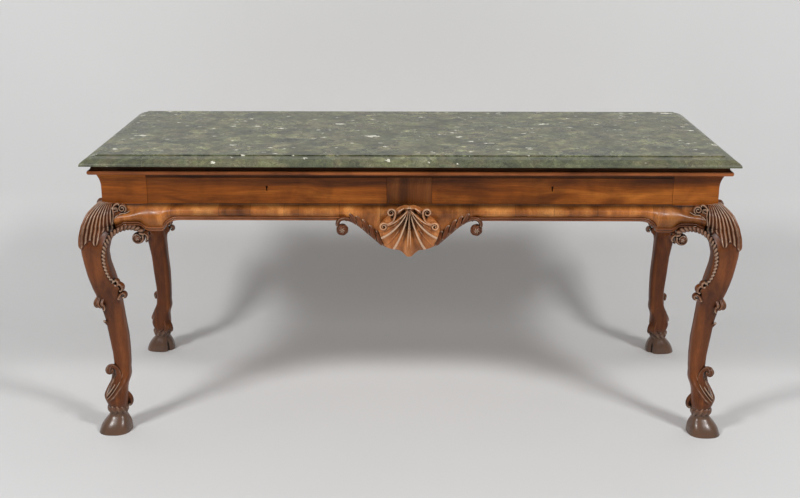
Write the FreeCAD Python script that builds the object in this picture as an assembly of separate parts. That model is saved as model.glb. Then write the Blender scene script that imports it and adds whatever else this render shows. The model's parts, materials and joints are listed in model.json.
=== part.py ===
"""Marble-topped pier table with two frieze drawers, carved apron and cabriole legs.

Millimetres, +Z up, and the front faces -Y. The origin is on the floor, under the middle of the table.
A reach is measured outwards from the flat face of the frieze.
"""
import FreeCAD, Part
import os

Vector = FreeCAD.Vector

# Overall sizes
OVERALL_HEIGHT = 840.0
FRAME_LENGTH = 1744.0
FRAME_DEPTH = 664.0

# Marble slab
SLAB_THICKNESS = 27.0
SLAB_OVERHANG = 47.0
SLAB_BACK_OVERHANG = 26.0
SLAB_MOULD_WIDTH = 39.0
SLAB_FIELD_STEP = 2.5
SLAB_LIP_HEIGHT = 6.0

# Frieze and cornice
FRIEZE_HEIGHT = 115.0
CORNICE_HEIGHT = 24.0
COVE_HEIGHT = 44.0
TOP_RAIL_HEIGHT = 38.0
TOP_RAIL_BACKING = 22.0
COVE_REACH = 13.0
CORNICE_REACH = 30.0
CORNICE_LIP_HEIGHT = 8.0
CORNICE_TOP_SETBACK = 10.0
CORNICE_QUIRK_HEIGHT = 3.0
CORNICE_SWELL = 0.7
FACING_THICKNESS = 22.0
CENTER_STILE_WIDTH = 126.0
END_STILE_WIDTH = 129.0

# Posts, rails and their joints
POST_SIZE = 60.0
SIDE_RAIL_THICKNESS = 24.0
BACK_RAIL_THICKNESS = 24.0
TENON_LENGTH = 25.0
TENON_THICKNESS = 12.0
TENON_SHOULDER = 10.0
STUB_TENON_HEIGHT = 10.0
STUB_TENON_WIDTH = 80.0
PEG_RADIUS = 4.0
PEG_INSET = 12.0
PEG_FROM_EDGE = 32.0
PEG_LENGTH = 28.0
PEG_END_COVER = 2.0

# Apron rails and the bead under them
APRON_MID_DROP = 35.0
APRON_END_DROP = 67.0
APRON_THICKNESS = 32.0
APRON_FILLET_HEIGHT = 3.0
APRON_FILLET_REACH = 3.0
APRON_MID_REACH = 22.0
APRON_END_REACH = 26.0
APRON_FOOT_REACH = 10.0
APRON_STEP_FROM_CORNER = 171.0
APRON_STEP_RUN = 51.0
APRON_STEP_SWEEP = 0.7
BEAD_HEIGHT = 8.5
BEAD_REACH = 16.0

# Shell and side leaves on the middle of the front apron
SHELL_HALF_WIDTH = 86.0
SHELL_HEIGHT = 146.0
SHELL_HINGE_HALF_WIDTH = 24.0
SHELL_HINGE_DROP = 4.0
SHELL_REACH = 48.0
SHELL_DOME_RADIUS = 210.0
LEAF_FOOT_HALF_SPAN = 60.0
LEAF_FOOT_LIFT = 22.0
LEAF_HOLLOW = 8.0
LEAF_HALF_SPAN = 182.0
LEAF_REACH = 34.0
LEAF_WIDTH = 24.0
LEAF_BALL_RADIUS = 17.0
DROP_PLATE_REACH = 12.0

# Ears beside the knees
VOLUTE_RADIUS = 18.0
VOLUTE_FROM_CORNER = 98.0
VOLUTE_DROP = 22.0
EAR_REACH = 16.0
EAR_THICKNESS = 40.0

# Legs
KNEE_REACH = 63.0
KNEE_TOP_REACH = 8.0
KNEE_ROUNDING = 0.12
LEG_ROUNDING = 0.30
HOOF_ROUNDING = 0.46
HOOF_TOE_REACH = 53.0
HOOF_HEEL_REACH = -41.0

# Drawers
DRAWER_BACK_ROOM = 80.0
DRAWER_GAP = 1.0
DRAWER_RUNNING_GAP = 0.3
DRAWER_SIDE_THICKNESS = 12.0
DRAWER_SIDE_HEIGHT = 69.0
DRAWER_BACK_THICKNESS = 12.0
DRAWER_BACK_SETDOWN = 6.0
DRAWER_BOTTOM_THICKNESS = 8.0
DRAWER_BOTTOM_LIFT = 7.0
DRAWER_GROOVE = 5.0
TAIL_COUNT = 2
TAIL_WIDTH = 12.0
TAIL_FLARE = 2.0
TAIL_LAP = 6.0

# Runners, guides, kickers and stops
RUNNER_THICKNESS = 22.0
RUNNER_LEDGE = 16.0
GUIDE_HEIGHT = 14.0
KICKER_GAP = 2.0
KICKER_LEDGE = 18.0
STOP_LENGTH = 14.0
STOP_HEIGHT = 12.0

# Drawer locks
LOCK_WIDTH = 60.0
LOCK_HEIGHT = 41.0
LOCK_DEPTH = 11.0
LOCK_WALL = 2.0
LOCK_CAP = 3.0
LOCK_FLANGE = 10.0
BOLT_WIDTH = 16.0
BOLT_TAIL_WIDTH = 30.0
BOLT_TAIL_HEIGHT = 12.0
BOLT_THROW = 8.0
BOLT_CLEARANCE = 0.3
KEYHOLE_RADIUS = 3.2
KEYHOLE_FROM_TOP = 28.0
KEYHOLE_SLOT_WIDTH = 3.4
KEYHOLE_SLOT_LENGTH = 11.0
KEY_PIN_RADIUS = 1.2
SCREW_RADIUS = 1.4
SCREW_LENGTH = 10.0
SCREW_HEAD_RADIUS = 2.8
SCREW_HEAD_HEIGHT = 1.2
SCREW_INSET = 5.0

# Levels, from the floor
SLAB_FOOT = OVERALL_HEIGHT - SLAB_THICKNESS
FRIEZE_FOOT = SLAB_FOOT - FRIEZE_HEIGHT
CORNICE_FOOT = SLAB_FOOT - CORNICE_HEIGHT
COVE_FOOT = CORNICE_FOOT - COVE_HEIGHT
OPENING_TOP = SLAB_FOOT - TOP_RAIL_HEIGHT
APRON_MID_FOOT = FRIEZE_FOOT - APRON_MID_DROP
APRON_END_FOOT = FRIEZE_FOOT - APRON_END_DROP
KNEE_FOOT = APRON_END_FOOT - BEAD_HEIGHT
SHELL_TOP = FRIEZE_FOOT - SHELL_HINGE_DROP
SHELL_TIP = SHELL_TOP - SHELL_HEIGHT
DRAWER_FOOT = FRIEZE_FOOT + DRAWER_RUNNING_GAP
DRAWER_TOP = OPENING_TOP - DRAWER_GAP
DRAWER_SIDE_TOP = DRAWER_FOOT + DRAWER_SIDE_HEIGHT
DRAWER_BACK_TOP = DRAWER_SIDE_TOP - DRAWER_BACK_SETDOWN
BOTTOM_FOOT = DRAWER_FOOT + DRAWER_BOTTOM_LIFT
BOTTOM_TOP = BOTTOM_FOOT + DRAWER_BOTTOM_THICKNESS
RUNNER_FOOT = FRIEZE_FOOT - RUNNER_THICKNESS
KICKER_FOOT = DRAWER_SIDE_TOP + KICKER_GAP
LOCK_FOOT = DRAWER_TOP - LOCK_HEIGHT

# Lengths and depths, from the middle of the table
HALF_LENGTH = FRAME_LENGTH / 2
HALF_DEPTH = FRAME_DEPTH / 2
FACING_BACK = -HALF_DEPTH + FACING_THICKNESS
POST_OUTER = HALF_LENGTH - FACING_THICKNESS
POST_INNER = POST_OUTER - POST_SIZE
KNEE_INNER_REACH = POST_INNER - HALF_LENGTH
KNEE_INNER_DEPTH = HALF_DEPTH + KNEE_INNER_REACH
FRONT_POST_BACK = FACING_BACK + POST_SIZE
BACK_POST_FRONT = HALF_DEPTH - POST_SIZE
BACK_RAIL_FRONT = HALF_DEPTH - BACK_RAIL_THICKNESS
SIDE_RAIL_INNER = POST_OUTER - SIDE_RAIL_THICKNESS
TOP_RAIL_BACK = FACING_BACK + TOP_RAIL_BACKING
APRON_BACK = -HALF_DEPTH + APRON_THICKNESS
OPENING_INNER = CENTER_STILE_WIDTH / 2
OPENING_OUTER = HALF_LENGTH - END_STILE_WIDTH
DRAWER_INNER = OPENING_INNER + DRAWER_GAP
DRAWER_OUTER = OPENING_OUTER - DRAWER_GAP
DRAWER_MIDDLE = (DRAWER_INNER + DRAWER_OUTER) / 2
DRAWER_END = BACK_RAIL_FRONT - DRAWER_BACK_ROOM
LOCK_FRONT = FACING_BACK - LOCK_DEPTH
BEYOND = 2 * SLAB_OVERHANG

# Leg below the knee: share of its height, outer reach, inner reach, rounding of the corners.
LEG_SECTIONS = [
    (0.000, HOOF_TOE_REACH, HOOF_HEEL_REACH, HOOF_ROUNDING),
    (0.035, 43.0, -38.0, HOOF_ROUNDING),
    (0.077, 26.0, -30.0, HOOF_ROUNDING),
    (0.115, 28.0, -33.0, HOOF_ROUNDING),
    (0.158, 33.0, -35.0, 0.40),
    (0.200, 26.0, -34.0, 0.36),
    (0.250, 10.0, -38.0, LEG_ROUNDING),
    (0.325, 4.0, -44.5, LEG_ROUNDING),
    (0.430, 8.0, -46.0, LEG_ROUNDING),
    (0.530, 16.0, -41.0, LEG_ROUNDING),
    (0.620, 25.5, -37.0, LEG_ROUNDING),
    (0.710, 38.0, -33.0, LEG_ROUNDING),
    (0.800, 51.0, -23.0, LEG_ROUNDING),
    (0.870, 57.0, -15.0, 0.24),
    (0.930, 61.0, -17.0, 0.18),
]
# Flare from the leg up to the knee block, in the same terms.
FLARE_SECTIONS = [
    LEG_SECTIONS[-1],
    (0.965, KNEE_REACH, -34.0, 0.15),
    (0.985, KNEE_REACH, -56.0, 0.13),
    (1.000, KNEE_REACH, KNEE_INNER_REACH, KNEE_ROUNDING),
]
# Right edge of the shell from its hinge to its tip, as shares of its half width and its height:
# the point that each lobe bulges through, and the point where it ends.
SHELL_LOBES = [
    ((0.76, 0.18), (1.00, 0.50)),
    ((1.02, 0.67), (0.81, 0.79)),
    ((0.63, 0.91), (0.33, 0.94)),
]
# Knee block: share of its height, and share of the swell from its top out to the full knee.
KNEE_SWELL = [(0.0, 1.0), (0.30, 0.93), (0.60, 0.69), (0.85, 0.36), (1.0, 0.0)]


class Outline:
    """A closed outline of straight runs and arcs, drawn in any plane."""

    def __init__(self, place, start):
        self.place = place
        self.start = start
        self.at = start
        self.edges = []

    def line(self, *points):
        """Adds straight runs to each point in turn."""
        for point in points:
            self.edges.append(Part.LineSegment(self.place(*self.at), self.place(*point)).toShape())
            self.at = point
        return self

    def arc(self, through, end):
        """Adds an arc through one point to another."""
        self.edges.append(Part.Arc(self.place(*self.at), self.place(*through), self.place(*end)).toShape())
        self.at = end
        return self

    def face(self):
        """The face inside the outline, closed by a last straight run."""
        if self.at != self.start:
            self.line(self.start)
        return Part.Face(Part.Wire(self.edges))


def box(low, high):
    """A box between two opposite corners, in any order."""
    near = [min(a, b) for a, b in zip(low, high)]
    size = [abs(b - a) for a, b in zip(low, high)]
    return Part.makeBox(*size, Vector(*near))


def prism(plan, foot, top):
    """An upright prism on a plan of straight runs."""
    edge = Part.makePolygon([Vector(x, y, foot) for x, y in plan + plan[:1]])
    return Part.Face(edge).extrude(Vector(0, 0, top - foot))


def mirror_x(shape):
    """The same piece at the other end of the table."""
    return shape.mirror(Vector(0, 0, 0), Vector(1, 0, 0))


def mirror_y(shape):
    """The same piece on the other long side."""
    return shape.mirror(Vector(0, 0, 0), Vector(0, 1, 0))


def fuse(shapes):
    """One solid from touching or crossing solids."""
    return shapes[0].multiFuse(shapes[1:]).removeSplitter()


def front_section(x):
    """Places a reach and a height on the front, at a length."""
    return lambda reach, z: Vector(x, -HALF_DEPTH - reach, z)


def end_section(y):
    """Places a reach and a height on the right end, at a depth."""
    return lambda reach, z: Vector(HALF_LENGTH + reach, y, z)


def front_view(reach):
    """Places a length and a height on a plane in front of the frieze."""
    return lambda x, z: Vector(x, -HALF_DEPTH - reach, z)


def end_view(reach):
    """Places a depth and a height on a plane beyond the right end of the frieze."""
    return lambda y, z: Vector(HALF_LENGTH + reach, y, z)


def along_front(section):
    """A moulding along the front, mitred at both corners."""
    length = FRAME_LENGTH + 2 * BEYOND
    run = section(front_section(-length / 2)).extrude(Vector(length, 0, 0))
    plan = [(side * (HALF_LENGTH + reach), -HALF_DEPTH - reach)
            for side, reach in ((-1, BEYOND), (1, BEYOND), (1, -BEYOND), (-1, -BEYOND))]
    return run.common(prism(plan, 0, OVERALL_HEIGHT))


def along_end(section):
    """A moulding along the right end, mitred in front and square at the back."""
    run = section(end_section(HALF_DEPTH)).extrude(Vector(0, -FRAME_DEPTH - BEYOND, 0))
    plan = [(HALF_LENGTH + BEYOND, -HALF_DEPTH - BEYOND), (HALF_LENGTH + BEYOND, HALF_DEPTH),
            (HALF_LENGTH - BEYOND, HALF_DEPTH), (HALF_LENGTH - BEYOND, -HALF_DEPTH + BEYOND)]
    return run.common(prism(plan, 0, OVERALL_HEIGHT))


def make_slab():
    """The marble top, moulded in front and at both ends, and cut square at the back."""
    half = HALF_LENGTH + SLAB_OVERHANG
    front = -HALF_DEPTH - SLAB_OVERHANG
    back = HALF_DEPTH + SLAB_BACK_OVERHANG
    lip_top = SLAB_FOOT + SLAB_LIP_HEIGHT
    mould_top = OVERALL_HEIGHT - SLAB_FIELD_STEP
    rise = mould_top - lip_top
    radius = (SLAB_MOULD_WIDTH ** 2 + rise ** 2) / (2 * rise)
    half_run = SLAB_MOULD_WIDTH / 2
    bow = mould_top - radius + (radius ** 2 - half_run ** 2) ** 0.5

    def up(outline, edge, inwards):
        field = edge + inwards * SLAB_MOULD_WIDTH
        outline.line((edge, lip_top))
        outline.arc((edge + inwards * half_run, bow), (field, mould_top))
        outline.line((field, OVERALL_HEIGHT))

    def down(outline, edge, inwards):
        field = edge + inwards * SLAB_MOULD_WIDTH
        outline.line((field, OVERALL_HEIGHT), (field, mould_top))
        outline.arc((edge + inwards * half_run, bow), (edge, lip_top))
        outline.line((edge, SLAB_FOOT))

    depth_section = Outline(lambda y, z: Vector(-half, y, z), (front, SLAB_FOOT))
    up(depth_section, front, 1)
    depth_section.line((back, OVERALL_HEIGHT), (back, SLAB_FOOT))
    length_section = Outline(lambda x, z: Vector(x, front, z), (-half, SLAB_FOOT))
    up(length_section, -half, 1)
    down(length_section, half, -1)
    lengthways = depth_section.face().extrude(Vector(2 * half, 0, 0))
    crossways = length_section.face().extrude(Vector(0, back - front, 0))
    return lengthways.common(crossways)


def cornice_section(place):
    """The cornice: an upright lip, an ovolo above it and a quirk under the slab."""
    top_reach = CORNICE_REACH - CORNICE_TOP_SETBACK
    lip_top = CORNICE_FOOT + CORNICE_LIP_HEIGHT
    ovolo_top = SLAB_FOOT - CORNICE_QUIRK_HEIGHT
    swell = (top_reach + CORNICE_SWELL * CORNICE_TOP_SETBACK, lip_top + CORNICE_SWELL * (ovolo_top - lip_top))
    outline = Outline(place, (0, CORNICE_FOOT))
    outline.line((CORNICE_REACH, CORNICE_FOOT), (CORNICE_REACH, lip_top))
    outline.arc(swell, (top_reach, ovolo_top))
    outline.line((top_reach, SLAB_FOOT), (0, SLAB_FOOT))
    return outline.face()


def cove_reach(z):
    """How far the coved part of the frieze stands out at a height."""
    radius = (COVE_REACH ** 2 + COVE_HEIGHT ** 2) / (2 * COVE_REACH)
    return radius - (radius ** 2 - (z - COVE_FOOT) ** 2) ** 0.5


def frieze_section(foot, top):
    """A frieze facing between two heights: flat below, coved above, flat behind the cornice."""
    def section(place):
        cove_foot = max(foot, COVE_FOOT)
        cove_top = min(top, CORNICE_FOOT)
        cove_middle = (cove_foot + cove_top) / 2
        outline = Outline(place, (-FACING_THICKNESS, foot))
        if foot < COVE_FOOT:
            outline.line((0, foot))
        outline.line((cove_reach(cove_foot), cove_foot))
        outline.arc((cove_reach(cove_middle), cove_middle), (cove_reach(cove_top), cove_top))
        if top > CORNICE_FOOT:
            outline.line((0, CORNICE_FOOT), (0, top))
        outline.line((-FACING_THICKNESS, top))
        return outline.face()
    return section


def rounded_square(inner, outer, rounding, z):
    """A level square section of the right back leg, with rounded corners."""
    half = (outer - inner) / 2
    radius = rounding * (outer - inner)
    flat = half - radius
    bend = flat + radius * 0.5 ** 0.5
    centre = Vector(HALF_LENGTH + inner + half, HALF_DEPTH + inner + half, z)
    edges = []
    for quarter in range(4):
        turn = FreeCAD.Rotation(Vector(0, 0, 1), 90 * quarter)
        points = [centre + turn.multVec(Vector(x, y, 0))
                  for x, y in ((half, -flat), (half, flat), (bend, bend), (flat, half))]
        edges.append(Part.LineSegment(points[0], points[1]).toShape())
        edges.append(Part.Arc(points[1], points[2], points[3]).toShape())
    return Part.Wire(edges)


def make_carved_leg():
    """The right back leg from its hoof to the top of its knee, with no post or mortises."""
    def wires(sections):
        return [rounded_square(inner, outer, rounding, share * KNEE_FOOT)
                for share, outer, inner, rounding in sections]
    swell = KNEE_REACH - KNEE_TOP_REACH
    knee = [rounded_square(KNEE_INNER_REACH, KNEE_TOP_REACH + part * swell, KNEE_ROUNDING,
                           KNEE_FOOT + share * (FRIEZE_FOOT - KNEE_FOOT)) for share, part in KNEE_SWELL]
    return fuse([Part.makeLoft(wires(LEG_SECTIONS), True, False),
                 Part.makeLoft(wires(FLARE_SECTIONS), True, True),
                 Part.makeLoft(knee, True, True)])


def make_leg(side, is_back, carved, cutters):
    """One leg with its corner post, cut for the tenons and pegs that enter it."""
    leg = carved if is_back else mirror_y(carved)
    leg = leg if side > 0 else mirror_x(leg)
    front, back = (BACK_POST_FRONT, HALF_DEPTH) if is_back else (FACING_BACK, FRONT_POST_BACK)
    post = box((side * POST_INNER, front, FRIEZE_FOOT), (side * POST_OUTER, back, SLAB_FOOT))
    return fuse([leg, post]).cut(cutters)


def front_tenons(front, foot, top):
    """A pair of tenons at the ends of a rail that runs the length of the table."""
    return [box((side * POST_INNER, front, foot),
                (side * (POST_INNER + TENON_LENGTH), front + TENON_THICKNESS, top)) for side in (-1, 1)]


def make_pegs():
    """The pegs that pin the tenons of the back rail and of the side rails."""
    pegs = []
    for side in (-1, 1):
        for z in (FRIEZE_FOOT + PEG_FROM_EDGE, SLAB_FOOT - PEG_FROM_EDGE):
            start = Vector(side * (POST_INNER + PEG_INSET), HALF_DEPTH, z)
            pegs.append(Part.makeCylinder(PEG_RADIUS, PEG_LENGTH, start, Vector(0, -1, 0)))
            for y in (FRONT_POST_BACK - PEG_INSET, BACK_POST_FRONT + PEG_INSET):
                start = Vector(side * POST_INNER, y, z)
                length = POST_SIZE - PEG_END_COVER
                pegs.append(Part.makeCylinder(PEG_RADIUS, length, start, Vector(side, 0, 0)))
    return Part.makeCompound(pegs)


def make_side_rail():
    """The right side rail between the posts, with a tenon at each end."""
    tenon_inner = SIDE_RAIL_INNER + (SIDE_RAIL_THICKNESS - TENON_THICKNESS) / 2
    rail = box((SIDE_RAIL_INNER, FRONT_POST_BACK, FRIEZE_FOOT), (POST_OUTER, BACK_POST_FRONT, SLAB_FOOT))
    tongue = box((tenon_inner, FRONT_POST_BACK - TENON_LENGTH, FRIEZE_FOOT + TENON_SHOULDER),
                 (tenon_inner + TENON_THICKNESS, BACK_POST_FRONT + TENON_LENGTH, SLAB_FOOT - TENON_SHOULDER))
    return fuse([rail, tongue])


def make_back_rail():
    """The plain back rail, as deep as the frieze and apron together."""
    tenon_front = BACK_RAIL_FRONT + (BACK_RAIL_THICKNESS - TENON_THICKNESS) / 2
    rail = box((-POST_INNER, BACK_RAIL_FRONT, KNEE_FOOT), (POST_INNER, HALF_DEPTH, SLAB_FOOT))
    return fuse([rail] + front_tenons(tenon_front, FRIEZE_FOOT + TENON_SHOULDER, SLAB_FOOT - TENON_SHOULDER))


def make_top_rail():
    """The front rail over the drawers: a mitred, coved facing and a tenoned backing."""
    facing = along_front(frieze_section(OPENING_TOP, SLAB_FOOT))
    backing = box((-POST_INNER, FACING_BACK, OPENING_TOP), (POST_INNER, TOP_RAIL_BACK, SLAB_FOOT))
    tenon_front = FACING_BACK + (TOP_RAIL_BACKING - TENON_THICKNESS) / 2
    return fuse([facing, backing] + front_tenons(tenon_front, OPENING_TOP + TENON_SHOULDER,
                                                 SLAB_FOOT - TENON_SHOULDER))


def make_end_stile():
    """The right end stile, between the drawer and the mitred corner."""
    run = along_front(frieze_section(FRIEZE_FOOT, OPENING_TOP))
    return run.common(box((OPENING_OUTER, -HALF_DEPTH - BEYOND, 0),
                          (HALF_LENGTH + BEYOND, HALF_DEPTH, OVERALL_HEIGHT)))


def make_center_stile():
    """The stile between the drawers, with a stub tenon up and one down."""
    section = frieze_section(FRIEZE_FOOT, OPENING_TOP)(front_section(-OPENING_INNER))
    stile = section.extrude(Vector(CENTER_STILE_WIDTH, 0, 0))
    tenon_front = FACING_BACK - (FACING_THICKNESS + TENON_THICKNESS) / 2
    tongue = box((-STUB_TENON_WIDTH / 2, tenon_front, FRIEZE_FOOT - STUB_TENON_HEIGHT),
                 (STUB_TENON_WIDTH / 2, tenon_front + TENON_THICKNESS, OPENING_TOP + STUB_TENON_HEIGHT))
    return fuse([stile, tongue])


def apron_section(place, reach, foot):
    """The convex apron section under a small fillet."""
    top = FRIEZE_FOOT - APRON_FILLET_HEIGHT
    outline = Outline(place, (-APRON_THICKNESS, FRIEZE_FOOT))
    outline.line((APRON_FILLET_REACH, FRIEZE_FOOT), (APRON_FILLET_REACH, top))
    outline.arc((reach, (top + foot) / 2), (APRON_FOOT_REACH, foot))
    outline.line((-APRON_THICKNESS, foot))
    return outline.face()


def apron_view(place, half, lowered):
    """The outline of an apron seen square on, deep beside both knees and shallow between.

    half runs from the middle to the corner of the frieze, and lowered drops the whole lower edge.
    """
    inner = half + KNEE_INNER_REACH
    corner = half - APRON_STEP_FROM_CORNER
    step_end = corner - APRON_STEP_RUN
    deep = APRON_END_FOOT - lowered
    shallow = APRON_MID_FOOT - lowered
    bend = corner - APRON_STEP_RUN * (1 - APRON_STEP_SWEEP)
    bend_z = deep + (shallow - deep) * APRON_STEP_SWEEP
    outline = Outline(place, (-inner, FRIEZE_FOOT))
    outline.line((-inner, deep), (-corner, deep)).arc((-bend, bend_z), (-step_end, shallow))
    outline.line((step_end, shallow)).arc((bend, bend_z), (corner, deep))
    outline.line((inner, deep), (inner, FRIEZE_FOOT))
    return outline.face()


def make_apron(section_place, along, view, inwards, half):
    """An apron rail between two knees, trimmed to its shaped lower edge."""
    inner = half + KNEE_INNER_REACH
    step_end = half - APRON_STEP_FROM_CORNER - APRON_STEP_RUN
    middle = apron_section(section_place(-inner), APRON_MID_REACH, APRON_MID_FOOT)
    bodies = [middle.extrude(along * (2 * inner))]
    for start in (-inner, step_end):
        deep = apron_section(section_place(start), APRON_END_REACH, APRON_END_FOOT)
        bodies.append(deep.extrude(along * (inner - step_end)))
    trim = apron_view(view(BEYOND), half, 0).extrude(inwards * (BEYOND + APRON_THICKNESS))
    return fuse(bodies).common(trim)


def make_bead(view, inwards, half):
    """The bead that follows the lower edge of an apron."""
    through = inwards * (BEAD_REACH + APRON_THICKNESS)
    whole = apron_view(view(BEAD_REACH), half, BEAD_HEIGHT).extrude(through)
    return whole.cut(apron_view(view(BEAD_REACH), half, 0).extrude(through))


def drop_view(place):
    """The plate that drops from the middle of the front apron, behind the shell and the leaves."""
    foot, foot_z = leaf_foot()
    bow, bow_z = leaf_bow()
    outline = Outline(place, (-LEAF_HALF_SPAN, APRON_MID_FOOT))
    outline.arc((-bow, bow_z), (-foot, foot_z))
    outline.line((0, SHELL_TIP + LEAF_WIDTH / 2), (foot, foot_z))
    outline.arc((bow, bow_z), (LEAF_HALF_SPAN, APRON_MID_FOOT))
    return outline.face()


def leaf_foot():
    """Where the lower edge of a side leaf meets the shell: length from the middle, and height."""
    return LEAF_FOOT_HALF_SPAN, SHELL_TIP + LEAF_FOOT_LIFT


def leaf_bow():
    """The middle of the swept lower edge of a side leaf: length from the middle, and height."""
    foot, foot_z = leaf_foot()
    return (LEAF_HALF_SPAN + foot) / 2 - LEAF_HOLLOW, (APRON_MID_FOOT + foot_z) / 2 + LEAF_HOLLOW


def make_front_apron():
    """The front apron with its drop plate and its tenons into the knees."""
    rail = make_apron(front_section, Vector(1, 0, 0), front_view, Vector(0, 1, 0), HALF_LENGTH)
    plate = drop_view(front_view(DROP_PLATE_REACH)).extrude(Vector(0, DROP_PLATE_REACH + APRON_THICKNESS, 0))
    tenons = front_tenons(-HALF_DEPTH + TENON_SHOULDER, APRON_END_FOOT + TENON_SHOULDER,
                          FRIEZE_FOOT - TENON_SHOULDER)
    return fuse([rail, plate] + tenons)


def make_end_apron():
    """The right end apron with its tenons into the knees."""
    rail = make_apron(end_section, Vector(0, 1, 0), end_view, Vector(-1, 0, 0), HALF_DEPTH)
    outer = HALF_LENGTH - TENON_SHOULDER
    reach = KNEE_INNER_DEPTH + TENON_LENGTH
    tongue = box((outer - TENON_THICKNESS, -reach, APRON_END_FOOT + TENON_SHOULDER),
                 (outer, reach, FRIEZE_FOOT - TENON_SHOULDER))
    middle = box((0, -KNEE_INNER_DEPTH, 0), (HALF_LENGTH, KNEE_INNER_DEPTH, OVERALL_HEIGHT))
    return fuse([rail, tongue.cut(middle)])


def make_shell():
    """The scallop shell: a lobed fan with a domed front, before it is fitted over the apron."""
    def at(side, shares):
        return side * shares[0] * SHELL_HALF_WIDTH, SHELL_TOP - shares[1] * SHELL_HEIGHT

    outline = Outline(front_view(SHELL_REACH + BEYOND), (-SHELL_HINGE_HALF_WIDTH, SHELL_TOP))
    outline.line((SHELL_HINGE_HALF_WIDTH, SHELL_TOP))
    for bulge, end in SHELL_LOBES:
        outline.arc(at(1, bulge), at(1, end))
    outline.arc((0, SHELL_TIP), at(-1, SHELL_LOBES[-1][1]))
    ends = [end for bulge, end in SHELL_LOBES[:-1]]
    for (bulge, _), end in zip(SHELL_LOBES[:0:-1], ends[::-1]):
        outline.arc(at(-1, bulge), at(-1, end))
    outline.arc(at(-1, SHELL_LOBES[0][0]), (-SHELL_HINGE_HALF_WIDTH, SHELL_TOP))
    fan = outline.face().extrude(Vector(0, BEYOND + SHELL_REACH - DROP_PLATE_REACH, 0))
    centre = Vector(0, -HALF_DEPTH - SHELL_REACH + SHELL_DOME_RADIUS, SHELL_TOP - SHELL_HEIGHT / 2)
    return fan.common(Part.makeSphere(SHELL_DOME_RADIUS, centre))


def make_leaf():
    """The right side leaf along the drop plate's edge, with the scroll at its outer end."""
    foot, foot_z = leaf_foot()
    bow, bow_z = leaf_bow()
    outline = Outline(front_view(LEAF_REACH), (LEAF_HALF_SPAN, APRON_MID_FOOT))
    outline.line((LEAF_HALF_SPAN, APRON_MID_FOOT - LEAF_WIDTH))
    outline.arc((bow, bow_z - LEAF_HOLLOW), (foot, foot_z))
    outline.line((foot - LEAF_WIDTH / 2, foot_z + LEAF_WIDTH))
    outline.arc((bow - LEAF_WIDTH / 2, bow_z + LEAF_WIDTH), (LEAF_HALF_SPAN - LEAF_WIDTH, APRON_MID_FOOT))
    blade = outline.face().extrude(Vector(0, LEAF_REACH - DROP_PLATE_REACH, 0))
    ball = Vector(LEAF_HALF_SPAN, -HALF_DEPTH - LEAF_REACH, APRON_MID_FOOT - BEAD_HEIGHT - LEAF_BALL_RADIUS)
    scroll = Part.makeCylinder(LEAF_BALL_RADIUS, LEAF_REACH - DROP_PLATE_REACH, ball, Vector(0, 1, 0))
    return fuse([blade, scroll])


def make_ear(place, inwards):
    """One ear: a neck under the bead, beside the knee, that ends in a volute."""
    knee = -KNEE_INNER_REACH
    centre = KNEE_FOOT - VOLUTE_DROP
    far = VOLUTE_FROM_CORNER + VOLUTE_RADIUS
    slant = VOLUTE_RADIUS * 0.5 ** 0.5
    rise = (VOLUTE_RADIUS ** 2 - (VOLUTE_FROM_CORNER - knee) ** 2) ** 0.5
    outline = Outline(place, (knee, KNEE_FOOT))
    outline.line((far, KNEE_FOOT), (far, centre))
    outline.arc((VOLUTE_FROM_CORNER + slant, centre - slant), (VOLUTE_FROM_CORNER, centre - VOLUTE_RADIUS))
    outline.arc((VOLUTE_FROM_CORNER - slant, centre - slant), (knee, centre - rise))
    return outline.face().extrude(inwards * EAR_THICKNESS)


def make_ears():
    """The eight ears by name, two beside each knee."""
    ears = {}
    for end, side in (("left", -1), ("right", 1)):
        for row, depth in (("front", -1), ("back", 1)):
            def long_face(a, z):
                return Vector(side * (HALF_LENGTH - a), depth * (HALF_DEPTH + EAR_REACH), z)

            def short_face(a, z):
                return Vector(side * (HALF_LENGTH + EAR_REACH), depth * (HALF_DEPTH - a), z)
            ears[f"ear_{row}_{end}_long"] = make_ear(long_face, Vector(0, -depth, 0))
            ears[f"ear_{row}_{end}_short"] = make_ear(short_face, Vector(-side, 0, 0))
    return ears


def make_runner():
    """The right drawer runner with its guide, between the front apron and the back rail."""
    ledge = OPENING_OUTER - RUNNER_LEDGE
    guide_top = FRIEZE_FOOT + GUIDE_HEIGHT
    return fuse([
        box((ledge, APRON_BACK, RUNNER_FOOT), (POST_INNER, BACK_RAIL_FRONT, FRIEZE_FOOT)),
        box((POST_INNER, -KNEE_INNER_DEPTH, RUNNER_FOOT),
            (HALF_LENGTH - APRON_THICKNESS, KNEE_INNER_DEPTH, FRIEZE_FOOT)),
        box((OPENING_OUTER, APRON_BACK, FRIEZE_FOOT), (POST_INNER, BACK_RAIL_FRONT, guide_top)),
        box((POST_INNER, FRONT_POST_BACK, FRIEZE_FOOT), (SIDE_RAIL_INNER, KNEE_INNER_DEPTH, guide_top)),
    ])


def make_center_runner():
    """The runner between the drawers, with the guide that both drawers share."""
    ledge = OPENING_INNER + RUNNER_LEDGE
    return fuse([
        box((-ledge, APRON_BACK, RUNNER_FOOT), (ledge, BACK_RAIL_FRONT, FRIEZE_FOOT)),
        box((-OPENING_INNER, APRON_BACK, FRIEZE_FOOT),
            (OPENING_INNER, BACK_RAIL_FRONT, FRIEZE_FOOT + GUIDE_HEIGHT)),
    ])


def make_kicker(inner, outer):
    """A bearer under the slab that also keeps the drawers from tipping."""
    return box((inner, TOP_RAIL_BACK, KICKER_FOOT), (outer, BACK_RAIL_FRONT, SLAB_FOOT))


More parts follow.
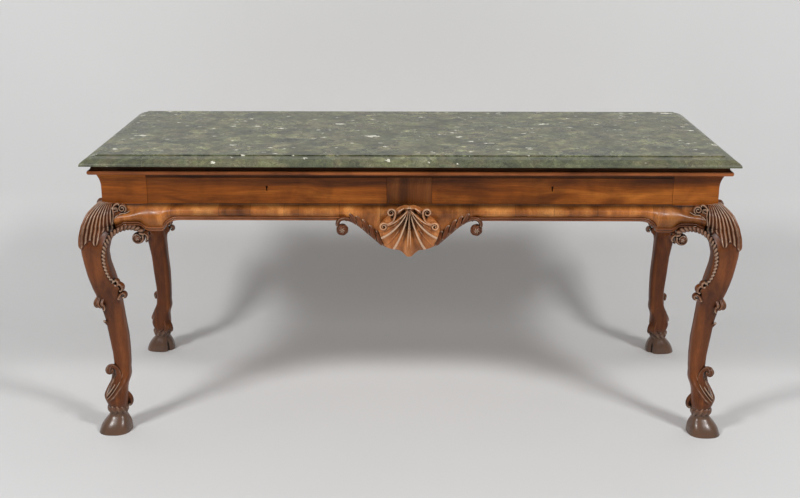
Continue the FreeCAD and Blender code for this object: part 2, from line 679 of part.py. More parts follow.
def make_stops():
    """The blocks on the runners that stop both drawers flush with the frieze."""
    start = DRAWER_END + DRAWER_RUNNING_GAP
    stops = [box((edge, start, FRIEZE_FOOT), (edge + ledge, start + STOP_LENGTH, FRIEZE_FOOT + STOP_HEIGHT))
             for edge, ledge in ((OPENING_INNER, RUNNER_LEDGE), (OPENING_OUTER, -RUNNER_LEDGE))]
    return Part.makeCompound(stops + [mirror_x(stop) for stop in stops])


def dovetails(inner, start, length, foot, top):
    """Dovetails on the end of a drawer side, flared in the direction of their length."""
    pitch = (top - foot) / TAIL_COUNT
    tails = []
    for index in range(TAIL_COUNT):
        middle = foot + pitch * (index + 0.5)
        root, tip = TAIL_WIDTH / 2, TAIL_WIDTH / 2 + TAIL_FLARE
        outline = Outline(lambda y, z: Vector(inner, y, z), (start, middle - root))
        outline.line((start + length, middle - tip), (start + length, middle + tip), (start, middle + root))
        tails.append(outline.face().extrude(Vector(DRAWER_SIDE_THICKNESS, 0, 0)))
    return tails


def make_drawer_side(inner):
    """A drawer side from its inner length, dovetailed into the front and through the back."""
    outer = inner + DRAWER_SIDE_THICKNESS
    back_face = DRAWER_END - DRAWER_BACK_THICKNESS
    board = box((inner, FACING_BACK, DRAWER_FOOT), (outer, back_face, DRAWER_SIDE_TOP))
    heel = box((inner, back_face, DRAWER_FOOT), (outer, DRAWER_END, BOTTOM_TOP))
    lapped = dovetails(inner, FACING_BACK, TAIL_LAP - FACING_THICKNESS, BOTTOM_TOP, DRAWER_SIDE_TOP)
    through = dovetails(inner, back_face, DRAWER_BACK_THICKNESS, BOTTOM_TOP, DRAWER_BACK_TOP)
    return fuse([board, heel] + lapped + through)


def keyhole(front, back):
    """The keyhole of the right drawer between two depths: a round eye over a slot."""
    eye = DRAWER_TOP - KEYHOLE_FROM_TOP
    half = KEYHOLE_SLOT_WIDTH / 2
    return fuse([
        Part.makeCylinder(KEYHOLE_RADIUS, back - front, Vector(DRAWER_MIDDLE, front, eye), Vector(0, 1, 0)),
        box((DRAWER_MIDDLE - half, front, eye - KEYHOLE_SLOT_LENGTH), (DRAWER_MIDDLE + half, back, eye)),
    ])


def make_screws():
    """The screws through the flanges of the right drawer lock."""
    screws = []
    reach = LOCK_WIDTH / 2 + LOCK_FLANGE - SCREW_INSET
    for side in (-1, 1):
        for z in (LOCK_FOOT + SCREW_INSET, DRAWER_TOP - 2 * SCREW_INSET):
            start = Vector(DRAWER_MIDDLE + side * reach, FACING_BACK, z)
            shank = Part.makeCylinder(SCREW_RADIUS, SCREW_LENGTH, start, Vector(0, -1, 0))
            head = Part.makeCylinder(SCREW_HEAD_RADIUS, SCREW_HEAD_HEIGHT, start, Vector(0, -1, 0))
            screws.append(fuse([shank, head]))
    return Part.makeCompound(screws)


def make_lock():
    """The case and the bolt of the right drawer lock, before the case is drilled for its screws."""
    half = LOCK_WIDTH / 2
    back_wall = FACING_BACK - LOCK_WALL
    body = box((DRAWER_MIDDLE - half, LOCK_FRONT, LOCK_FOOT), (DRAWER_MIDDLE + half, FACING_BACK, DRAWER_TOP))
    flange = box((DRAWER_MIDDLE - half - LOCK_FLANGE, back_wall, LOCK_FOOT),
                 (DRAWER_MIDDLE + half + LOCK_FLANGE, FACING_BACK, DRAWER_TOP))
    room_front = LOCK_FRONT + LOCK_WALL
    room_top = DRAWER_TOP - LOCK_CAP
    room = box((DRAWER_MIDDLE - half + LOCK_WALL, room_front, LOCK_FOOT + LOCK_WALL),
               (DRAWER_MIDDLE + half - LOCK_WALL, back_wall, room_top))
    slot_half = BOLT_WIDTH / 2 + BOLT_CLEARANCE
    slot = box((DRAWER_MIDDLE - slot_half, room_front, room_top),
               (DRAWER_MIDDLE + slot_half, back_wall, DRAWER_TOP))
    pin = Part.makeCylinder(KEY_PIN_RADIUS, back_wall - room_front,
                            Vector(DRAWER_MIDDLE, room_front, DRAWER_TOP - KEYHOLE_FROM_TOP), Vector(0, 1, 0))
    outer = fuse([body, flange])
    case = fuse([outer.cut([room, slot, keyhole(LOCK_FRONT, room_front)]), pin])
    bolt_front, bolt_back = room_front + BOLT_CLEARANCE, back_wall - BOLT_CLEARANCE
    tail_top = room_top - BOLT_THROW - BOLT_CLEARANCE
    bolt = fuse([
        box((DRAWER_MIDDLE - BOLT_TAIL_WIDTH / 2, bolt_front, tail_top - BOLT_TAIL_HEIGHT),
            (DRAWER_MIDDLE + BOLT_TAIL_WIDTH / 2, bolt_back, tail_top)),
        box((DRAWER_MIDDLE - BOLT_WIDTH / 2, bolt_front, tail_top),
            (DRAWER_MIDDLE + BOLT_WIDTH / 2, bolt_back, DRAWER_TOP)),
    ])
    return outer, case, bolt


def make_drawer():
    """The right drawer's pieces by name."""
    inner_side = make_drawer_side(DRAWER_INNER)
    outer_side = make_drawer_side(DRAWER_OUTER - DRAWER_SIDE_THICKNESS)
    groove = DRAWER_SIDE_THICKNESS - DRAWER_GROOVE
    bottom = box((DRAWER_INNER + groove, FACING_BACK - DRAWER_GROOVE, BOTTOM_FOOT),
                 (DRAWER_OUTER - groove, DRAWER_END, BOTTOM_TOP))
    back = box((DRAWER_INNER, DRAWER_END - DRAWER_BACK_THICKNESS, BOTTOM_TOP),
               (DRAWER_OUTER, DRAWER_END, DRAWER_BACK_TOP)).cut([inner_side, outer_side])
    screws = make_screws()
    lock_body, case, bolt = make_lock()
    section = frieze_section(DRAWER_FOOT, DRAWER_TOP)(front_section(DRAWER_INNER))
    front = section.extrude(Vector(DRAWER_OUTER - DRAWER_INNER, 0, 0))
    front = front.cut([inner_side, outer_side, bottom, lock_body, screws,
                       keyhole(-HALF_DEPTH - COVE_REACH, LOCK_FRONT)])
    return {
        "front": front,
        "inner_side": inner_side.cut(bottom),
        "outer_side": outer_side.cut(bottom),
        "back": back,
        "bottom": bottom,
        "lock_case": case.cut(screws),
        "lock_screws": screws,
        "lock_bolt": bolt,
    }


def bolt_mortise():
    """The hole in the top rail that the right bolt is thrown into."""
    back_wall = FACING_BACK - LOCK_WALL
    half = BOLT_WIDTH / 2 + BOLT_CLEARANCE
    return box((DRAWER_MIDDLE - half, LOCK_FRONT + LOCK_WALL, OPENING_TOP),
               (DRAWER_MIDDLE + half, back_wall, DRAWER_TOP + BOLT_THROW + DRAWER_GAP))


def make_table():
    """Every piece of the table by name."""
    center_stile = make_center_stile()
    top_rail = make_top_rail().cut([center_stile, bolt_mortise(), mirror_x(bolt_mortise())])
    front_apron = make_front_apron().cut(center_stile)
    end_apron = make_end_apron()
    side_rail = make_side_rail()
    back_rail = make_back_rail()
    pegs = make_pegs()
    shell = make_shell().cut(front_apron)
    leaf = make_leaf().cut([shell, front_apron])
    front_bead = make_bead(front_view, Vector(0, 1, 0), HALF_LENGTH)
    front_bead = front_bead.cut(box((-LEAF_HALF_SPAN, -HALF_DEPTH - BEYOND, 0),
                                    (LEAF_HALF_SPAN, HALF_DEPTH, OVERALL_HEIGHT)))
    end_bead = make_bead(end_view, Vector(-1, 0, 0), HALF_DEPTH)
    end_stile = make_end_stile()
    end_facing = along_end(frieze_section(FRIEZE_FOOT, SLAB_FOOT))
    end_cornice = along_end(cornice_section)
    runner = make_runner()
    kicker = make_kicker(OPENING_OUTER - KICKER_LEDGE, POST_INNER)
    bearer_half = OPENING_INNER + KICKER_LEDGE
    pieces = {
        "marble_top": make_slab(),
        "cornice_front": along_front(cornice_section),
        "front_top_rail": top_rail,
        "front_center_stile": center_stile,
        "back_rail": back_rail.cut(pegs),
        "apron_front": front_apron,
        "apron_bead_front": front_bead,
        "shell_carving": shell,
        "center_runner": make_center_runner(),
        "top_bearer_center": make_kicker(-bearer_half, bearer_half),
        "drawer_stops": make_stops(),
        "tenon_pegs": pegs,
    }
    paired = {
        "cornice": end_cornice,
        "front_end_stile": end_stile,
        "side_facing": end_facing,
        "side_rail": side_rail.cut(pegs),
        "apron": end_apron,
        "apron_bead": end_bead,
        "shell_leaf": leaf,
        "drawer_runner": runner,
        "kicker": kicker,
    }
    for name, shape in paired.items():
        pieces[f"{name}_right"] = shape
        pieces[f"{name}_left"] = mirror_x(shape)
    for name, shape in make_drawer().items():
        pieces[f"drawer_right_{name}"] = shape
        pieces[f"drawer_left_{name}"] = mirror_x(shape)
    tenoned = [top_rail, front_apron, end_apron, side_rail, back_rail]
    tenoned += [mirror_x(end_apron), mirror_x(side_rail), pegs]
    carved = make_carved_leg()
    for end, side in (("left", -1), ("right", 1)):
        pieces[f"leg_front_{end}"] = make_leg(side, False, carved, tenoned)
        pieces[f"leg_back_{end}"] = make_leg(side, True, carved, tenoned)
    pieces.update(make_ears())
    return pieces


def main():
    """Writes each piece to its own file."""
    os.makedirs("parts", exist_ok=True)
    for name, shape in make_table().items():
        print(f"{name}: {len(shape.Solids)} solids, {shape.Volume / 1000:.1f} cm3, valid {shape.isValid()}")
        shape.exportStep(f"parts/{name}.step")


main()
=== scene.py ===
"""Looks of a marble-topped pier table: carved walnut, cross-cut veneer, marble and a pale studio.

Sizes are millimetres and become metres when a mesh is made. +Z is up and the front faces -Y.
On a leg, a is the reach beyond the end of the frieze and b the reach beyond its long face.
"""

import json
import logging
import math
from dataclasses import dataclass
from enum import Enum
from functools import partial
from typing import Any, Iterable, Sequence

import bmesh
import bpy
import numpy as np
from mathutils.bvhtree import BVHTree
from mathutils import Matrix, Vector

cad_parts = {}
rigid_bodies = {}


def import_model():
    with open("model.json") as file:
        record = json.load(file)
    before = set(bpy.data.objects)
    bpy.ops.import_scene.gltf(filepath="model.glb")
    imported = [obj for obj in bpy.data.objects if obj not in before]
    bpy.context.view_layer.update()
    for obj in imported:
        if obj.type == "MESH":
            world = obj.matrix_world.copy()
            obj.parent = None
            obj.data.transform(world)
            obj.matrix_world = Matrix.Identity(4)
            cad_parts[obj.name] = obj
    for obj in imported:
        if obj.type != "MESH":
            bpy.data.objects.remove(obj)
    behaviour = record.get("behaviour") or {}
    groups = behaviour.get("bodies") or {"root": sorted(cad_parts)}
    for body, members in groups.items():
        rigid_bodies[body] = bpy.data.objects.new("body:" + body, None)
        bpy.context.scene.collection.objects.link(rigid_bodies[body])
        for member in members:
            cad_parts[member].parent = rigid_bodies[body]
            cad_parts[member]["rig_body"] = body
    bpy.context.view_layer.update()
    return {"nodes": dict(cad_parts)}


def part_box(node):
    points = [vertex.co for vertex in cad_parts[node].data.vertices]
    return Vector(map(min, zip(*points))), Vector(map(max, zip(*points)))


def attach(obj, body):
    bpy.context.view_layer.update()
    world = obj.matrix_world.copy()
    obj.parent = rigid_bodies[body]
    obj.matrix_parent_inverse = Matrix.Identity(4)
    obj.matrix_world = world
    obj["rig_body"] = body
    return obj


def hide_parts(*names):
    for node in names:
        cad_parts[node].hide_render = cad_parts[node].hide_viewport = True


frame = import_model()

LOG = logging.getLogger("pier_table")
MILLIMETRE = 0.001
HALF_LENGTH = 872.0
HALF_DEPTH = 332.0
FRIEZE_FOOT = 698.0
DEPTHWAYS = (0.0, 1.0, 0.0)
PATH_STEPS = 24
DOME_STEPS = 3.0
DOME_START = 0.04
RIB_DEPTH = 0.24
BUD_ROWS = 19
BUD_STEPS = 8
BUD_GROOVE = 0.30
RELIEF_RADIUS = 1.7
RELIEF_ROUNDS = 5
BROAD_ROUNDS = 30
BROAD_SHARE = 0.4
SHELTER_REACH = 22.0
SHELTER_RAYS = 12
SHELTER_LIFT = 0.4
SLANT = (0.36, 0.48, 0.80)
GOLDEN_ANGLE = math.pi * (3.0 - math.sqrt(5.0))
Colour = tuple[int, int, int]
Pair = tuple[float, float]
Triple = tuple[float, float, float]
Line = tuple[tuple[float, ...], ...]
Array = np.ndarray
Mesh = bpy.types.Mesh
Piece = bpy.types.Object
Material = bpy.types.Material
Tree = bpy.types.NodeTree
Node = bpy.types.Node
Socket = bpy.types.NodeSocket


class Slot(Enum):
    """The record's slots of the pieces that are made here."""

    MARBLE = "marble"
    FRIEZE = "frieze_veneer"
    MOULDING = "moulding_walnut"
    TORUS = "cross_veneer"
    CARVING = "carved_walnut"


class Grain(Enum):
    """The way the grain runs, as the order in which a pattern reads the object's axes."""

    LENGTHWAYS = "XYZ"
    FRONT_TO_BACK = "YXZ"
    UPRIGHT = "ZXY"


class Corner(Enum):
    """The four corners of the frame, by the signs of X and Y."""

    FRONT_LEFT = (-1, -1)
    FRONT_RIGHT = (1, -1)
    BACK_LEFT = (-1, 1)
    BACK_RIGHT = (1, 1)

    @property
    def label(self) -> str:
        """The corner as node names spell it."""
        return self.name.lower()


class Face(Enum):
    """The three dressed faces of the frame."""

    FRONT = "front"
    LEFT = "left"
    RIGHT = "right"

    def place(self, along: Array, reach: Array, height: Array) -> Array:
        """Points on this face.

        Args:
            along: Lengths from the middle of the face.
            reach: Distances in front of the frieze.
            height: Heights above the floor.

        Returns:
            One point in each row.
        """
        along, reach, height = np.broadcast_arrays(along, reach, height)
        if self is Face.FRONT:
            return np.stack([along, -HALF_DEPTH - reach, height], axis=-1)
        side = -1.0 if self is Face.LEFT else 1.0
        return np.stack([side * (HALF_LENGTH + reach), along, height], axis=-1)


def smoothstep(low: float, high: float, value: Array) -> Array:
    """A soft step from 0 at low to 1 at high."""
    share = np.clip((value - low) / (high - low), 0.0, 1.0)
    return share * share * (3.0 - 2.0 * share)


def soft_curve(knots: Sequence[Pair], at: Array, blur: float) -> Array:
    """Reads a curve that runs near the knots, with its corners eased.

    Args:
        knots: Places and values, in rising order.
        at: Where the curve is read.
        blur: How far each corner is eased.

    Returns:
        The values at those places.
    """
    places, values = np.array(knots, float).T
    fineness = 8
    step = blur / fineness
    fine = np.arange(places[0], places[-1] + step, step)
    reach = 3 * fineness
    weights = np.exp(-0.5 * (np.arange(-reach, reach + 1) / fineness) ** 2)
    padded = np.pad(np.interp(fine, places, values), reach, mode="reflect", reflect_type="odd")
    return np.interp(at, fine, np.convolve(padded, weights / weights.sum(), mode="valid"))


def smooth_path(points: Sequence[Sequence[float]], count: int) -> Array:
    """A smooth line through points, with even steps.

    Args:
        points: The points that the line passes.
        count: How many points come back.

    Returns:
        Points along a Catmull-Rom line.
    """
    knots = np.array(points, float)
    ends = np.vstack([2 * knots[0] - knots[1], knots, 2 * knots[-1] - knots[-2]])
    share = np.linspace(0.0, 1.0, PATH_STEPS, endpoint=False)[:, None]
    runs = []
    for before, start, end, after in zip(ends, ends[1:], ends[2:], ends[3:]):
        runs.append(0.5 * (2 * start + (end - before) * share
                           + (2 * before - 5 * start + 4 * end - after) * share ** 2
                           + (3 * start - before - 3 * end + after) * share ** 3))
    line = np.vstack(runs + [knots[-1:]])
    lengths = np.concatenate([[0.0], np.cumsum(np.linalg.norm(np.diff(line, axis=0), axis=1))])
    even = np.linspace(0.0, lengths[-1], count)
    return np.stack([np.interp(even, lengths, line[:, axis]) for axis in range(line.shape[1])], axis=-1)


def spiral(centre: Pair, radii: Pair, start: float, turns: float, count: int) -> Array:
    """A flat spiral.

    Args:
        centre: Its eye.
        radii: The first and the last radius.
        start: The first direction, in turns from the first axis.
        turns: How far it winds, negative for clockwise.
        count: How many points come back.

    Returns:
        Points in the plane of the spiral.
    """
    share = np.linspace(0.0, 1.0, count)
    angle = 2 * math.pi * (start + turns * share)
    radius = radii[0] + (radii[1] - radii[0]) * share
    return np.stack([centre[0] + radius * np.cos(angle), centre[1] + radius * np.sin(angle)], axis=-1)


def unit(vectors: Array) -> Array:
    """Vectors of length one."""
    return vectors / np.linalg.norm(vectors, axis=-1, keepdims=True)


def tapered(count: int, places: Sequence[float], values: Sequence[float]) -> Array:
    """Values read at even steps from 0 to 1, between the places."""
    return np.interp(np.linspace(0.0, 1.0, count), places, values)


def raised(line: Array, reach: Array | float) -> Array:
    """A flat line of lengths and heights, at a reach beyond the frieze."""
    return np.stack(np.broadcast_arrays(line[:, 0], reach, line[:, 1]), axis=-1)


@dataclass
class Carving:
    """A mesh in the making: points in millimetres, and faces of four and of three corners."""

    points: Array
    quads: Array
    triangles: Array

    @classmethod
    def lofted(cls, rings: Array, endless: bool = False) -> "Carving":
        """A skin over a row of closed rings.

        Args:
            rings: Points by ring and by place in the ring.
            endless: True where the last ring meets the first, and False to close both ends.

        Returns:
            The skin.
        """
        rows, columns = rings.shape[:2]
        index = np.arange(rows * columns).reshape(rows, columns)
        here, there = (index, np.roll(index, -1, axis=0)) if endless else (index[:-1], index[1:])
        beside, beyond = np.roll(here, -1, axis=1), np.roll(there, -1, axis=1)
        quads = np.stack([here, beside, beyond, there], axis=-1).reshape(-1, 4)
        points = rings.reshape(-1, 3)
        if endless:
            return cls(points, quads, np.empty((0, 3), int))
        points = np.vstack([points, rings[0].mean(axis=0), rings[-1].mean(axis=0)])
        first, last = np.full(columns, rows * columns), np.full(columns, rows * columns + 1)
        caps = [np.stack([first, np.roll(index[0], -1), index[0]], axis=-1),
                np.stack([last, index[-1], np.roll(index[-1], -1)], axis=-1)]
        return cls(points, quads, np.vstack(caps))

    @classmethod
    def swept(cls, path: Array, thickness: Array | float, width: Array | float, sides: int = 14,
              lobes: int = 0, across: Sequence[float] = DEPTHWAYS) -> "Carving":
        """A closed bar along a path, oval in section.

        Args:
            path: The middle line.
            thickness: Half the size in the plane of the path.
            width: Half the size along the direction across.
            sides: Points round the bar.
            lobes: How many ribs run along the bar, as on a leaf.
            across: The direction that the bar is wide in.

        Returns:
            The bar, with domed ends.
        """
        count = len(path)
        tangent = unit(np.gradient(path, axis=0))
        side = unit(np.cross(tangent, np.array(across, float)))
        wide = np.cross(side, tangent)
        ends = np.minimum(np.arange(count), np.arange(count)[::-1]) / DOME_STEPS
        dome = np.sqrt(1.0 - (1.0 - np.clip(ends, DOME_START, 1.0)) ** 2)
        thick = (dome * thickness)[:, None, None]
        broad = (dome * width)[:, None, None]
        angle = np.linspace(0.0, 2 * math.pi, sides, endpoint=False)[None, :, None]
        rib = 1.0 - RIB_DEPTH * (1.0 - np.abs(np.sin(0.5 * lobes * angle))) if lobes else 1.0
        oval = thick * np.cos(angle) * side[:, None] + broad * np.sin(angle) * wide[:, None]
        return cls.lofted(path[:, None] + rib * oval)

    @classmethod
    def bud(cls, centre: Sequence[float], radius: float, depth: float, axis: int, ribs: int,
            twist: float) -> "Carving":
        """A rounded bud with ribs that wind about its axis.

        Args:
            centre: Its middle.
            radius: Its half width.
            depth: Its half depth along the axis.
            axis: The number of the coordinate that the axis follows.
            ribs: How many ribs it has.
            twist: How far the ribs wind from end to end, in turns.

        Returns:
            The bud.
        """
        rows, columns = BUD_ROWS, BUD_STEPS * ribs
        tilt = np.linspace(-0.48, 0.48, rows)[:, None] * math.pi
        turn = np.linspace(0.0, 2 * math.pi, columns, endpoint=False)[None, :]
        groove = 1.0 - np.abs(np.sin(0.5 * ribs * (turn + 2.0 * twist * tilt)))
        swell = 1.0 - BUD_GROOVE * groove ** 2
        rings = np.empty((rows, columns, 3))
        first, second = (number for number in range(3) if number != axis)
        rings[:, :, first] = radius * swell * np.cos(tilt) * np.cos(turn)
        rings[:, :, second] = radius * swell * np.cos(tilt) * np.sin(turn)
        rings[:, :, axis] = depth * swell * np.sin(tilt)
        return cls.lofted(rings + np.array(centre, float))

    @classmethod
    def joined(cls, parts: Iterable["Carving"]) -> "Carving":
        """All parts in one mesh, as shells that cross or touch.

        Args:
            parts: The parts.

        Returns:
            The one mesh.
        """
        points, quads, triangles, total = [], [], [], 0
        for part in parts:
            points.append(part.points)
            quads.append(part.quads + total)
            triangles.append(part.triangles + total)
            total += len(part.points)
        return cls(np.vstack(points), np.vstack(quads), np.vstack(triangles))

    def swapped(self) -> "Carving":
        """The mirror image in the diagonal of a corner, from one face of a leg to the other."""
        return Carving(self.points[:, [1, 0, 2]], self.quads, self.triangles)

    def faces(self) -> list[list[int]]:
        """All faces as lists of corners."""
        return self.quads.tolist() + self.triangles.tolist()


def read_vectors(collection: bpy.types.bpy_prop_collection, name: str) -> Array:
    """Reads one vector property of every item of a collection.

    Args:
        collection: The items.
        name: The property's name.

    Returns:
        One vector in each row.
    """
    values = np.empty(len(collection) * 3)
    collection.foreach_get(name, values)
    return values.reshape(-1, 3)


def edge_ends(mesh: Mesh) -> Array:
    """The two points of every edge.

    Args:
        mesh: The mesh.

    Returns:
        The numbers of its two points in each row.
    """
    ends = np.empty(len(mesh.edges) * 2, dtype=np.int32)
    mesh.edges.foreach_get("vertices", ends)
    return ends.reshape(-1, 2)


def edge_mean(values: Array, ends: Array, own: bool) -> Array:
    """Averages values at the ends of edges.

    Args:
        values: A value for each edge, or for each point.
        ends: The two points of each edge.
        own: True for values that belong to the edges and False for values of the neighbours.

    Returns:
        A mean for each point.
    """
    count = int(ends.max()) + 1 if own else len(values)
    shares = [values, values] if own else [values[ends[:, 1]], values[ends[:, 0]]]
    total = sum(np.bincount(ends[:, side], weights=shares[side], minlength=count) for side in (0, 1))
    return total / np.maximum(np.bincount(ends.ravel(), minlength=count), 1)


def store_value(mesh: Mesh, name: str, values: Array) -> None:
    """Stores a value from 0 to 1 for each point."""
    clipped = np.clip(values, 0.0, 1.0).astype(np.float32)
    mesh.attributes.new(name, "FLOAT", "POINT").data.foreach_set("value", clipped)


def store_relief(mesh: Mesh) -> None:
    """Stores how raised each point stands: 0 in a groove, 0.5 on an even surface and 1 on an arris.

    Args:
        mesh: The mesh that gets the attribute relief.
    """
    points, normals = read_vectors(mesh.vertices, "co"), read_vectors(mesh.vertex_normals, "vector")
    ends = edge_ends(mesh)
    run = points[ends[:, 1]] - points[ends[:, 0]]
    turn = normals[ends[:, 1]] - normals[ends[:, 0]]
    bend = edge_mean((turn * run).sum(axis=1) / np.maximum((run ** 2).sum(axis=1), 1e-10), ends, True)
    bend = np.clip(bend, -1.0 / MILLIMETRE, 1.0 / MILLIMETRE)
    for _ in range(RELIEF_ROUNDS):
        bend = 0.5 * (bend + edge_mean(bend, ends, False))
    wide = bend
    for _ in range(BROAD_ROUNDS):
        wide = edge_mean(wide, ends, False)
    store_value(mesh, "relief", 0.5 + (bend - BROAD_SHARE * wide) * RELIEF_RADIUS * MILLIMETRE)


def store_shelter(mesh: Mesh, neighbours: Sequence[Carving]) -> None:
    """Stores how much of the view from each point is shut in by carving close by.

    Args:
        mesh: The mesh that gets the attribute shelter.
        neighbours: Carvings of other pieces that stand close.
    """
    points, normals = read_vectors(mesh.vertices, "co"), read_vectors(mesh.vertex_normals, "vector")
    blockers, faces = [points], [list(face.vertices) for face in mesh.polygons]
    total = len(points)
    for carving in neighbours:
        blockers.append(carving.points * MILLIMETRE)
        faces += [[corner + total for corner in face] for face in carving.faces()]
        total += len(carving.points)
    tree = BVHTree.FromPolygons(np.vstack(blockers).tolist(), faces)
    number = np.arange(SHELTER_RAYS) + 0.5
    out = np.sqrt(number / SHELTER_RAYS)
    rays = np.stack([out * np.cos(number * GOLDEN_ANGLE), out * np.sin(number * GOLDEN_ANGLE),
                     np.sqrt(1.0 - out ** 2)], axis=-1)
    first = np.cross(normals, SLANT)
    first /= np.maximum(np.linalg.norm(first, axis=1), 1e-9)[:, None]
    axes = np.stack([first, np.cross(normals, first), normals], axis=1)
    starts = (points + normals * SHELTER_LIFT * MILLIMETRE).tolist()
    shut = np.empty(len(points))
    far = SHELTER_REACH * MILLIMETRE
    for index, (start, ways) in enumerate(zip(starts, np.einsum("rk,nkc->nrc", rays, axes).tolist())):
        shut[index] = sum(tree.ray_cast(start, way, far)[0] is not None for way in ways)
    shut = 0.5 * (shut + edge_mean(shut, edge_ends(mesh), False)) / SHELTER_RAYS
    store_value(mesh, "shelter", shut)


def make_mesh(name: str, carving: Carving, crease: float = 180.0,
              neighbours: Sequence[Carving] | None = None) -> Mesh:
    """Makes a closed mesh with outward faces, in metres.

    Args:
        name: The mesh's name.
        carving: Its shape, in millimetres.
        crease: The angle in degrees past which an edge stays sharp.
        neighbours: Carvings close by, for a carved mesh with rubbed arrises and soiled hollows, partly
            painted highlight and painted shade.

    Returns:
        The mesh.
    """
    mesh = bpy.data.meshes.new(name)
    mesh.from_pydata((carving.points * MILLIMETRE).tolist(), [], carving.faces())
    work = bmesh.new()
    work.from_mesh(mesh)
    bmesh.ops.remove_doubles(work, verts=work.verts, dist=1e-6)
    bmesh.ops.recalc_face_normals(work, faces=work.faces)
    work.to_mesh(mesh)
    work.free()
    mesh.shade_smooth()
    mesh.set_sharp_from_angle(angle=math.radians(crease))
    if neighbours is not None:
        store_relief(mesh)
        store_shelter(mesh, neighbours)
    return mesh


def corner_copy(mesh: Mesh, corner: Corner, swapped: bool = False) -> Mesh:
    """Copies a mesh drawn in reaches beyond the frieze to a corner of the frame.

    Args:
        mesh: The mesh of one corner.
        corner: The corner.
        swapped: True to turn the long face of a corner into the short one.

    Returns:
        The copy in its place.
    """
    copy = mesh.copy()
    points = read_vectors(mesh.vertices, "co")[:, [1, 0, 2] if swapped else [0, 1, 2]]
    x_sign, y_sign = corner.value
    points = (points + np.array([HALF_LENGTH, HALF_DEPTH, 0.0]) * MILLIMETRE) * (x_sign, y_sign, 1.0)
    copy.vertices.foreach_set("co", points.ravel())
    if (x_sign * y_sign < 0) != swapped:
        copy.flip_normals()
    copy.update()
    return copy


def place_object(name: str, data: bpy.types.ID) -> Piece:
    """Puts a mesh, a lamp or a camera in the scene, at the origin.

    Args:
        name: The object's name.
        data: What it shows.

    Returns:
        The new object.
    """
    piece = bpy.data.objects.new(name, data)
    bpy.context.scene.collection.objects.link(piece)
    return piece


def add_piece(name: str, mesh: Mesh, material: Material, node: str, body: str = "frame") -> None:
    """Puts a piece in the scene, rides it on its body in place of a CAD node and reports it.

    Args:
        name: The piece's name.
        mesh: Its mesh.
        material: Its finish.
        node: The node that it stands for.
        body: The body that carries it.
    """
    mesh.materials.append(material)
    piece = place_object(name, mesh)
    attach(piece, body)
    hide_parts(node)
    LOG.info("%s rides on %s, %d faces", piece.name, body, len(mesh.polygons))


class Sheet:
    """Lays out the nodes of one tree and joins their sockets."""

    def __init__(self, tree: Tree) -> None:
        """Keeps the tree that nodes are added to."""
        self.tree = tree

    def set(self, node: Node, inputs: dict[Any, Any]) -> None:
        """Gives a node's inputs their values or joins them to sockets.

        Args:
            node: The node.
            inputs: Values or sockets, by the input's name or number.
        """
        for key, value in inputs.items():
            if isinstance(value, Socket):
                self.tree.links.new(value, node.inputs[key])
            else:
                node.inputs[key].default_value = value

    def add(self, kind: str, inputs: dict[Any, Any] | None = None, **settings: Any) -> Node:
        """Adds a node.

        Args:
            kind: The node's type.
            inputs: Values or sockets for its inputs, by name or number.
            settings: Values for the node's own properties.

        Returns:
            The node.
        """
        node = self.tree.nodes.new(kind)
        for name, value in settings.items():
            setattr(node, name, value)
        self.set(node, inputs or {})
        return node

    def take(self, kind: str, inputs: dict[Any, Any] | None = None, **settings: Any) -> Socket:
        """Adds a node in the same way and gives its first output."""
        return self.add(kind, inputs, **settings).outputs[0]

    def math(self, operation: str, *values: Any) -> Socket:
        """The result of a sum on values or sockets."""
        return self.take("ShaderNodeMath", dict(enumerate(values)), operation=operation)

    def vector(self, operation: str, *values: Any) -> Socket:
        """The result of a sum on vectors."""
        return self.take("ShaderNodeVectorMath", dict(enumerate(values)), operation=operation)

    def height(self, place: Socket) -> Socket:
        """The height of a place."""
        return self.add("ShaderNodeSeparateXYZ", {0: place}).outputs[2]

    def mix(self, factor: Any, first: Any, second: Any, blend: str = "MIX") -> Socket:
        """Two colours mixed by a factor."""
        inputs = {0: factor, 6: first, 7: second}
        return self.add("ShaderNodeMix", inputs, data_type="RGBA", blend_type=blend).outputs[2]

    def step(self, value: Any, low: float, high: float, first: float = 0.0, last: float = 1.0) -> Socket:
        """A soft step of a value between two limits."""
        inputs = {0: value, 1: low, 2: high, 3: first, 4: last}
        return self.take("ShaderNodeMapRange", inputs, interpolation_type="SMOOTHSTEP")

    def noise(self, vector: Any, scale: float, detail: float = 4.0, distortion: float = 0.0) -> Socket:
        """The value of a noise at a place."""
        inputs = {"Vector": vector, "Scale": scale, "Detail": detail, "Distortion": distortion}
        return self.take("ShaderNodeTexNoise", inputs)

    def ramp(self, factor: Any, stops: Sequence[tuple[float, Any]], steps: bool = False) -> Socket:
        """A colour ramp.

        Args:
            factor: The socket that is read.
            stops: Places and colours.
            steps: True for plain steps between the stops.

        Returns:
            The colour socket.
        """
        node = self.add("ShaderNodeValToRGB", {0: factor})
        node.color_ramp.interpolation = "CONSTANT" if steps else "LINEAR"
        elements = node.color_ramp.elements
        while len(elements) < len(stops):
            elements.new(1.0)
        for element, (place, colour) in zip(elements, stops):
            element.position = place
            element.color = colour
        return node.outputs[0]


def paint(colour: Colour) -> tuple[float, float, float, float]:
    """A colour of 0 to 255 as seen, in the linear values that shaders take.

    Args:
        colour: Red, green and blue.

    Returns:
        The linear colour, opaque.
    """
    shares = [part / 255 for part in colour]
    linear = (share / 12.92 if share <= 0.04045 else ((share + 0.055) / 1.055) ** 2.4 for share in shares)
    return *linear, 1.0


def grey(value: float) -> tuple[float, float, float, float]:
    """A linear grey."""
    return value, value, value, 1.0


